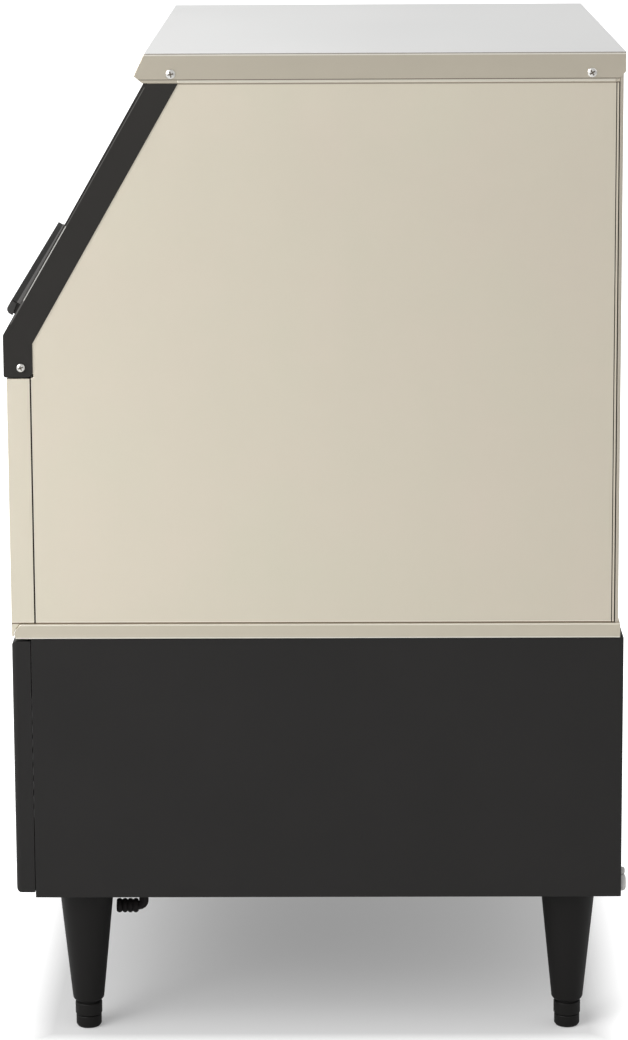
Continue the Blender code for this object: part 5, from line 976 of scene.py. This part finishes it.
# %% Frame lines
LINE_INNER, LINE_OUTER = 0.3045, 0.30515
UPPER_LINE = [(0.0020, -0.0032), (0.1560, -0.0026), (0.1560, -0.0018), (0.0020, -0.0024)]
LOWER_LINE = [(0.1560, -0.0024), (0.2400, -0.0018), (0.2400, -0.0008), (0.1560, -0.0014)]
FOOT_LINE = [(0.2404, -0.0022), (0.2660, -0.0018), (0.2660, -0.0006), (0.2404, -0.0006)]
LINES = (
    ("upper", edge_grey, UPPER_LINE),
    ("lower", edge_pale, LOWER_LINE),
    ("foot", edge_grey, FOOT_LINE),
)
for side, sign in (("left", -1), ("right", 1)):
    for name, look, outline in LINES:
        ends = sign * LINE_INNER, sign * LINE_OUTER
        line = pulled_on_slope(f"frame_line_{name}_{side}", outline, ends)
        finish_shape(line, look, "cabinet")
print("frame lines", 2 * len(LINES))

# %% [markdown]
# ## Drain cap
# The bin's drain ends below the base in an elbow with a ribbed rubber cap. The cap is turned
# with a soft bulge for each rib, and its mouth is hollow where it goes over the elbow.

# %% Turn the drain cap
RINGS, CAP_LONG, CAP_RADIUS, CAP_BORE, CAP_FLOOR = 4, 0.0220, 0.0072, 0.0052, 0.0069
CAP_FACE_RADIUS = CAP_RADIUS - 0.0012
RING_PROFILE = ((0.15, 0.0006), (0.35, 0.0), (0.65, 0.0), (0.85, 0.0006), (1.0, 0.0014))
cap_profile = [(0, 0), (CAP_FACE_RADIUS, 0)]
for ring in range(RINGS):
    for share, drop in RING_PROFILE:
        cap_profile.append((CAP_RADIUS - drop, CAP_LONG * (ring + share) / RINGS))
cap_profile += [(CAP_BORE, CAP_LONG), (CAP_BORE, CAP_FLOOR), (0, CAP_FLOOR)]
centre = middle_of("drain_cap")
centre.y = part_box("drain_cap")[0][1]
drain_cap = turned("ringed_drain_cap", cap_profile, centre, "Y")
shade(drain_cap, 50)
finish_shape(drain_cap, soft_black, node_body["drain_cap"], "drain_cap")
print("drain cap", RINGS, "ribs")

# %% [markdown]
# ## Rear pads and cord inlet
# A pale pad at each lower rear corner keeps the machine off the wall, with a small button above
# it. The cord's inlet is a rubber ring in the rear panel, with a groove for the sheet. All are
# turned about the depth.

# %% Turn the pads, the buttons and the cord inlet
PAD_RADIUS, BUTTON_RADIUS, SEAT_GAP = 0.0086, 0.0038, 0.0003
PAD_PROFILE = [
    (0, SEAT_GAP), (PAD_RADIUS, SEAT_GAP), (PAD_RADIUS, 0.0026),
    (0.0078, 0.0044), (0.0060, 0.0054), (0, 0.0054),
]
BUTTON_PROFILE = [
    (0, SEAT_GAP), (BUTTON_RADIUS, SEAT_GAP), (BUTTON_RADIUS, 0.0030),
    (0.0030, 0.0042), (0.0018, 0.0046), (0, 0.0046),
]
for side in ("left", "right"):
    low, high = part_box(f"rear_spacer_{side}")
    x, seat_y = (low[0] + high[0]) / 2, low[1] - SEAT_GAP
    pad = turned(f"pad_{side}", PAD_PROFILE, (x, seat_y, low[2] + PAD_RADIUS), "Y", 40)
    button_place = (x, seat_y, high[2] - BUTTON_RADIUS)
    button = turned(f"button_{side}", BUTTON_PROFILE, button_place, "Y", 32)
    for piece, nodes in ((pad, (f"rear_spacer_{side}",)), (button, ())):
        shade(piece, 50)
        finish_shape(piece, pale_plastic, "cabinet", *nodes)
GLAND_BORE, GLAND_NECK, GLAND_RADIUS, GLAND_RIM = 0.0045, 0.0110, 0.0150, 0.0030
GLAND_PROFILE = [
    (GLAND_BORE, -0.0100), (GLAND_NECK, -0.0100), (GLAND_NECK, SEAT_GAP),
    (GLAND_RADIUS, SEAT_GAP), (GLAND_RADIUS, 0.0022), (0.0140, GLAND_RIM),
    (0.0055, GLAND_RIM), (GLAND_BORE, 0.0022), (GLAND_BORE, -0.0100),
]
centre = middle_of("cord_gland")
centre.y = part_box("cord_gland")[1][1] - GLAND_RIM
gland = turned("turned_cord_gland", GLAND_PROFILE, centre, "Y", 40)
shade(gland, 35)
finish_shape(gland, soft_black, "cabinet", "cord_gland")
print("pads, buttons and cord inlet", 5)

# %% [markdown]
# ## Condenser
# Behind the slots stands the condenser: a row of tubes through thin aluminium fins, between two
# end plates. One fin is bevelled and repeated by an array, and each tube is turned about its
# own line.

# %% Fins, end plates and tubes
COND_LOW, COND_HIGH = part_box("condenser")
FIN_THICK, FIN_COUNT, FIN_END, FIN_INSET_Y, FIN_INSET_Z = 0.0007, 62, 0.004, 0.0006, 0.0015
END_THICK, TUBE_ROWS, TUBE_RADIUS, TUBE_INSET = 0.0025, 8, 0.0048, 0.001
FIN_ROUND, END_ROUND = 0.0002, 0.0006
fin_pitch = (COND_HIGH[0] - COND_LOW[0] - 2 * FIN_END) / FIN_COUNT
fin_low = (COND_LOW[0] + FIN_END, COND_LOW[1] + FIN_INSET_Y, COND_LOW[2] + FIN_INSET_Z)
fin_high = (fin_low[0] + FIN_THICK, COND_HIGH[1] - FIN_INSET_Y, COND_HIGH[2] - FIN_INSET_Z)
fins = bar("condenser_fins", fin_low, fin_high, FIN_ROUND)
apply(
    fins,
    "ARRAY",
    count=FIN_COUNT,
    use_relative_offset=False,
    use_constant_offset=True,
    constant_offset_displace=(fin_pitch, 0, 0),
)
finish_shape(fins, aluminium, "cabinet", "condenser")
for number, x in enumerate((COND_LOW[0], COND_HIGH[0] - END_THICK)):
    low, high = (x, COND_LOW[1], COND_LOW[2]), (x + END_THICK, COND_HIGH[1], COND_HIGH[2])
    plate = bar(f"condenser_end_{number}", low, high, END_ROUND)
    finish_shape(plate, plain_steel, "cabinet")
tube_y, row_pitch = (COND_LOW[1] + COND_HIGH[1]) / 2, (COND_HIGH[2] - COND_LOW[2]) / TUBE_ROWS
tube_start, tube_end = COND_LOW[0] + TUBE_INSET, COND_HIGH[0] - TUBE_INSET
tube_profile = [
    (0, tube_start), (TUBE_RADIUS, tube_start), (TUBE_RADIUS, tube_end), (0, tube_end)
]
for row in range(TUBE_ROWS):
    spot = (0, tube_y, COND_LOW[2] + (row + 0.5) * row_pitch)
    tube = turned(f"condenser_tube_{row}", tube_profile, spot, "X", 24)
    shade(tube)
    finish_shape(tube, copper, "cabinet")
print("condenser", FIN_COUNT, "fins", TUBE_ROWS, "tubes")

# %% [markdown]
# ## Compressor
# The compressor is a deep-drawn steel can in two halves with a welded seam. It is turned in one
# go, with the seam as a small step of its profile, and stands on a plate with four rubber
# grommets.

# %% Turn the compressor
COMP_X, COMP_Y, _ = middle_of("compressor")
COMP_FOOT_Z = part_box("compressor")[0][2]
CAN_FOOT_Z = COMP_FOOT_Z + 0.0020
CAN_PROFILE = [
    (0, 0), (0.0660, 0), (0.0760, 0.0035), (0.0800, 0.0100), (0.0800, 0.0860), (0.0836, 0.0870),
    (0.0840, 0.0900), (0.0836, 0.0930), (0.0800, 0.0940), (0.0795, 0.1350), (0.0760, 0.1540),
    (0.0680, 0.1670), (0.0540, 0.1750), (0.0300, 0.1790), (0, 0.1800),
]
can = turned("compressor_can", CAN_PROFILE, (COMP_X, COMP_Y, CAN_FOOT_Z), "Z", 72)
shade(can, 35)
finish_shape(can, enamel_black, "cabinet", "compressor")
PLATE_HALF, PLATE_FOOT, PLATE_TOP = 0.0948, COMP_FOOT_Z + 0.0002, COMP_FOOT_Z + 0.0039
PLATE_ROUND, COVER_ROUND = 0.0008, 0.0030
low = (COMP_X - PLATE_HALF, COMP_Y - PLATE_HALF, PLATE_FOOT)
high = (COMP_X + PLATE_HALF, COMP_Y + PLATE_HALF, PLATE_TOP)
plate = bar("compressor_plate", low, high, PLATE_ROUND)
finish_shape(plate, enamel_black, "cabinet")
COVER_NEAR, COVER_FAR, COVER_HALF, COVER_FOOT, COVER_TOP = 0.070, 0.094, 0.022, 0.205, 0.262
low = (COMP_X + COVER_NEAR, COMP_Y - COVER_HALF, COVER_FOOT)
high = (COMP_X + COVER_FAR, COMP_Y + COVER_HALF, COVER_TOP)
cover = bar("terminal_cover", low, high, COVER_ROUND)
finish_shape(cover, soft_black, "cabinet")
print("compressor can", len(can.data.polygons), "faces")

# %% [markdown]
# ## Grommets
# The plate's corners sit on rubber grommets that keep the compressor's shake from the base. One
# is turned and copied to the four corners.

# %% Turn one grommet and copy it
GROMMET_PROFILE = [
    (0, 0), (0.0100, 0), (0.0100, 0.0030), (0.0082, 0.0038), (0.0082, 0.0052), (0.0100, 0.0060),
    (0.0096, 0.0090), (0.0050, 0.0094), (0.0050, 0.0120), (0, 0.0124),
]
GROMMET_OUT = 0.082
grommet = turned("grommet", GROMMET_PROFILE, (0, 0, PLATE_TOP), "Z", 32)
shade(grommet, 35)
CORNERS = ((-1, -1), (1, -1), (-1, 1), (1, 1))
for number, (sign_x, sign_y) in enumerate(CORNERS):
    place = (COMP_X + sign_x * GROMMET_OUT, COMP_Y + sign_y * GROMMET_OUT, 0)
    copy = twin(grommet, f"grommet_{number}", Matrix.Translation(place))
    finish_shape(copy, soft_black, "cabinet")
bpy.data.objects.remove(grommet)
print("grommets", len(CORNERS))

# %% [markdown]
# ## Fan motor
# The fan's motor is a small can with cooling grooves, and its shaft reaches forward into the
# rotor. The grooves are steps of the profile, made in a loop.

# %% Turn the fan motor
FAN_X, _, FAN_Z = middle_of("fan_motor")
MOTOR_LONG, MOTOR_RADIUS, SHAFT_RADIUS, SHAFT_LONG = 0.0480, 0.0360, 0.0040, 0.0298
GROOVES, GROOVE_START, GROOVE_PITCH, GROOVE_RADIUS = 5, 0.0110, 0.0060, 0.0346
GROOVE_STEP, GROOVE_FLOOR, GROOVE_WIDE = 0.0012, 0.0024, 0.0036
MOTOR_FRONT = [(0.0300, 0), (0.0345, 0.0030), (MOTOR_RADIUS, 0.0060)]
MOTOR_REAR = [(MOTOR_RADIUS, 0.0430), (0.0330, 0.0465), (0.0280, MOTOR_LONG), (0, MOTOR_LONG)]
motor_profile = [(0, -SHAFT_LONG), (SHAFT_RADIUS, -SHAFT_LONG), (SHAFT_RADIUS, 0)]
motor_profile += MOTOR_FRONT
for groove in range(GROOVES):
    y = GROOVE_START + groove * GROOVE_PITCH
    motor_profile += [(MOTOR_RADIUS, y), (GROOVE_RADIUS, y + GROOVE_STEP)]
    motor_profile += [(GROOVE_RADIUS, y + GROOVE_FLOOR), (MOTOR_RADIUS, y + GROOVE_WIDE)]
motor_profile += MOTOR_REAR
motor_place = (FAN_X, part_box("fan_motor")[1][1] - MOTOR_LONG, FAN_Z)
motor = turned("ribbed_fan_motor", motor_profile, motor_place, "Y", 48)
shade(motor, 35)
finish_shape(motor, motor_steel, node_body["fan_motor"], "fan_motor")
print("fan motor", GROOVES, "grooves")

# %% [markdown]
# ## Water pump and float
# The pump hangs in the trough from a small plate, with its motor above the water. The float is
# a ring of blue foam that rides up and down a stem. Both are turned about the upright.

# %% Turn the pump and the float
PUMP_LOW, PUMP_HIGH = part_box("water_pump")
PUMP_X, PUMP_Y = (PUMP_LOW[0] + PUMP_HIGH[0]) / 2, PUMP_LOW[1] + 0.0410
PUMP_SEAT, PUMP_PLATE_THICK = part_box("water_trough")[1][2] + 0.0003, 0.003
PUMP_PROFILE = [
    (0, -0.0438), (0.0150, -0.0438), (0.0180, -0.0410), (0.0180, -0.0262), (0.0150, -0.0238),
    (0.0060, -0.0208), (0.0060, 0.0030), (0.0060, 0.0060), (0.0184, 0.0060), (0.0218, 0.0085),
    (0.0230, 0.0132), (0.0230, 0.0560), (0.0218, 0.0600), (0.0161, 0.0655), (0.0060, 0.0660),
    (0, 0.0660),
]
pump = turned("turned_water_pump", PUMP_PROFILE, (PUMP_X, PUMP_Y, PUMP_SEAT), "Z", 48)
shade(pump, 35)
finish_shape(pump, white_plastic, node_body["water_pump"], "water_pump")
low = (PUMP_LOW[0], PUMP_LOW[1], PUMP_SEAT)
high = (PUMP_HIGH[0], PUMP_HIGH[1], PUMP_SEAT + PUMP_PLATE_THICK)
plate = bar("pump_plate", low, high, PLATE_ROUND)
finish_shape(plate, plain_steel, "cabinet")
FLOAT_BORE, FLOAT_RADIUS, FLOAT_HIGH = 0.0038, 0.0130, 0.0180
FLOAT_PROFILE = [
    (FLOAT_BORE, 0), (0.0112, 0), (FLOAT_RADIUS, 0.0018), (FLOAT_RADIUS, 0.0162),
    (0.0112, FLOAT_HIGH), (FLOAT_BORE, FLOAT_HIGH), (FLOAT_BORE, 0),
]
centre = middle_of("float")
centre.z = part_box("float")[0][2]
ring = turned("turned_float", FLOAT_PROFILE, centre, "Z", 40)
shade(ring, 35)
finish_shape(ring, float_blue, node_body["float"], "float")
print("pump", len(pump.data.polygons), "faces, float", len(ring.data.polygons), "faces")

# %% [markdown]
# ## Foam
# The foam between the skins keeps its measured shape and only gets a finish.

# %% Dress the foam
FOAMED = ("foam_insulation", "door_foam")
for node in FOAMED:
    frame["nodes"][node].data.materials.clear()
    frame["nodes"][node].data.materials.append(foam_cream)
print("foam pieces", len(FOAMED))

# %% [markdown]
# ## Floor
# The machine stands on a white floor that fills the picture, with a soft grey shadow below the
# base. The floor is a diffuse plane whose colour is darker close to the machine, a painted shadow
# that deepens the rendered one, and it also glows for the camera: a little below the machine,
# where the shadow has to show, and fully farther out, where the picture is white.

# %% A white floor that keeps the shadow, with a painted shadow close to the machine
FLOOR_HALF, FLOOR_ROUGH = 60.0, 0.9
NEAR_PAINTED_SHADOW, FAR_WHITE = 0.54, 0.80
NEAR_GLOW, FAR_GLOW = 0.250, 0.95
GLOW_START, GLOW_SPAN, DEPTH_LEAD = 0.28, 0.07, 0.01
bpy.ops.mesh.primitive_plane_add(size=2 * FLOOR_HALF, location=(0, 0, 0))
floor = bpy.context.object
floor.name = "floor"
look, shader, place = new_finish("floor_white", FLOOR_ROUGH)
shader.inputs["Specular IOR Level"].default_value = 0.0
across, along = axis_of(place, 0), axis_of(place, 1)
across = across.maths("ABSOLUTE", across)
along = along.maths("ABSOLUTE", along) + DEPTH_LEAD
outward = across.maths("MAXIMUM", across, along)
inputs = {"Value": outward, "From Min": GLOW_START, "From Max": GLOW_START + GLOW_SPAN}
far = outward.node("ShaderNodeMapRange", inputs)
# Close to the machine the floor's colour is darker: a painted shadow.
feed(shader, "Base Color", mixed(far, (NEAR_PAINTED_SHADOW,) * 3, (FAR_WHITE,) * 3))
camera_rays = place.node("ShaderNodeLightPath", output="Is Camera Ray")
# The glow is weak close to the machine, inside the painted shadow, and strong farther out.
glow = mixed(far, (NEAR_GLOW,) * 3, (FAR_GLOW,) * 3)
feed(shader, "Emission Color", blended(place, camera_rays, (0, 0, 0, 1), glow))
shader.inputs["Emission Strength"].default_value = 1.0
floor.data.materials.append(look)
floor.select_set(False)
print("floor", 2 * FLOOR_HALF, "m wide")

# %% [markdown]
# ## Light
# An even white world lights the machine from all sides, as a pale studio does. Four large soft
# lamps add a plain modelling light: a key lamp before the near side, a side lamp that lifts the
# side sheet, a far lamp for the other side of the door and a weak one behind.

# %% World and lamps
WORLD_STRENGTH, WORLD_WHITE = 0.66, (1.0, 1.0, 1.0, 1.0)
world = bpy.data.worlds.new("studio")
world.use_nodes = True
world.node_tree.nodes["Background"].inputs["Color"].default_value = WORLD_WHITE
world.node_tree.nodes["Background"].inputs["Strength"].default_value = WORLD_STRENGTH
bpy.context.scene.world = world


def lamp(name, place, aim, size, power):
    """A square soft lamp that looks at a point."""
    light = bpy.data.lights.new(name, "AREA")
    light.shape = "SQUARE"
    light.size = size
    light.energy = power
    holder = bpy.data.objects.new(name, light)
    bpy.context.scene.collection.objects.link(holder)
    holder.location = place
    holder.rotation_euler = (Vector(aim) - Vector(place)).to_track_quat("-Z", "Y").to_euler()
    return holder


MACHINE_MIDDLE, DOOR_MIDDLE = (0, 0, 0.5), (0, 0, 0.8)
lamps = [
    lamp("key_lamp", (2.0, -2.7, 2.9), DOOR_MIDDLE, 2.4, 82),
    lamp("side_lamp", (3.1, -2.2, 1.9), MACHINE_MIDDLE, 1.8, 38),
    lamp("far_lamp", (-2.4, -0.8, 3.3), DOOR_MIDDLE, 1.8, 12),
    lamp("rear_lamp", (0.2, 2.6, 2.6), MACHINE_MIDDLE, 2.4, 10),
]
print("lamps", [(holder.name, holder.data.energy) for holder in lamps])

# %% [markdown]
# ## Camera
# The camera looks at the machine's side from a little above, and its place, turn and lens were
# fitted to corners of the machine in the photograph. The lens is shifted down, which keeps the
# upright edges nearly upright.

# %% Camera
CAMERA_PLACE = (3.4453, 0.02682, 1.2723)
CAMERA_HEADING = math.radians(90.548)
CAMERA_PITCH = math.radians(90 - 9.606)
CAMERA_ROLL = math.radians(-0.302)
CAMERA_LENS = 114.56
CAMERA_SHIFT = -0.2
camera = bpy.data.objects.new("camera", bpy.data.cameras.new("camera"))
bpy.context.scene.collection.objects.link(camera)
camera.matrix_world = (
    Matrix.Translation(CAMERA_PLACE)
    @ Matrix.Rotation(CAMERA_HEADING, 4, "Z")
    @ Matrix.Rotation(CAMERA_PITCH, 4, "X")
    @ Matrix.Rotation(CAMERA_ROLL, 4, "Z")
)
camera.data.lens = CAMERA_LENS
camera.data.shift_y = CAMERA_SHIFT
camera.data.clip_end = 4 * FLOOR_HALF
bpy.context.scene.camera = camera
bpy.context.scene.view_settings.view_transform = "Standard"
print("camera", CAMERA_PLACE, "lens", CAMERA_LENS)
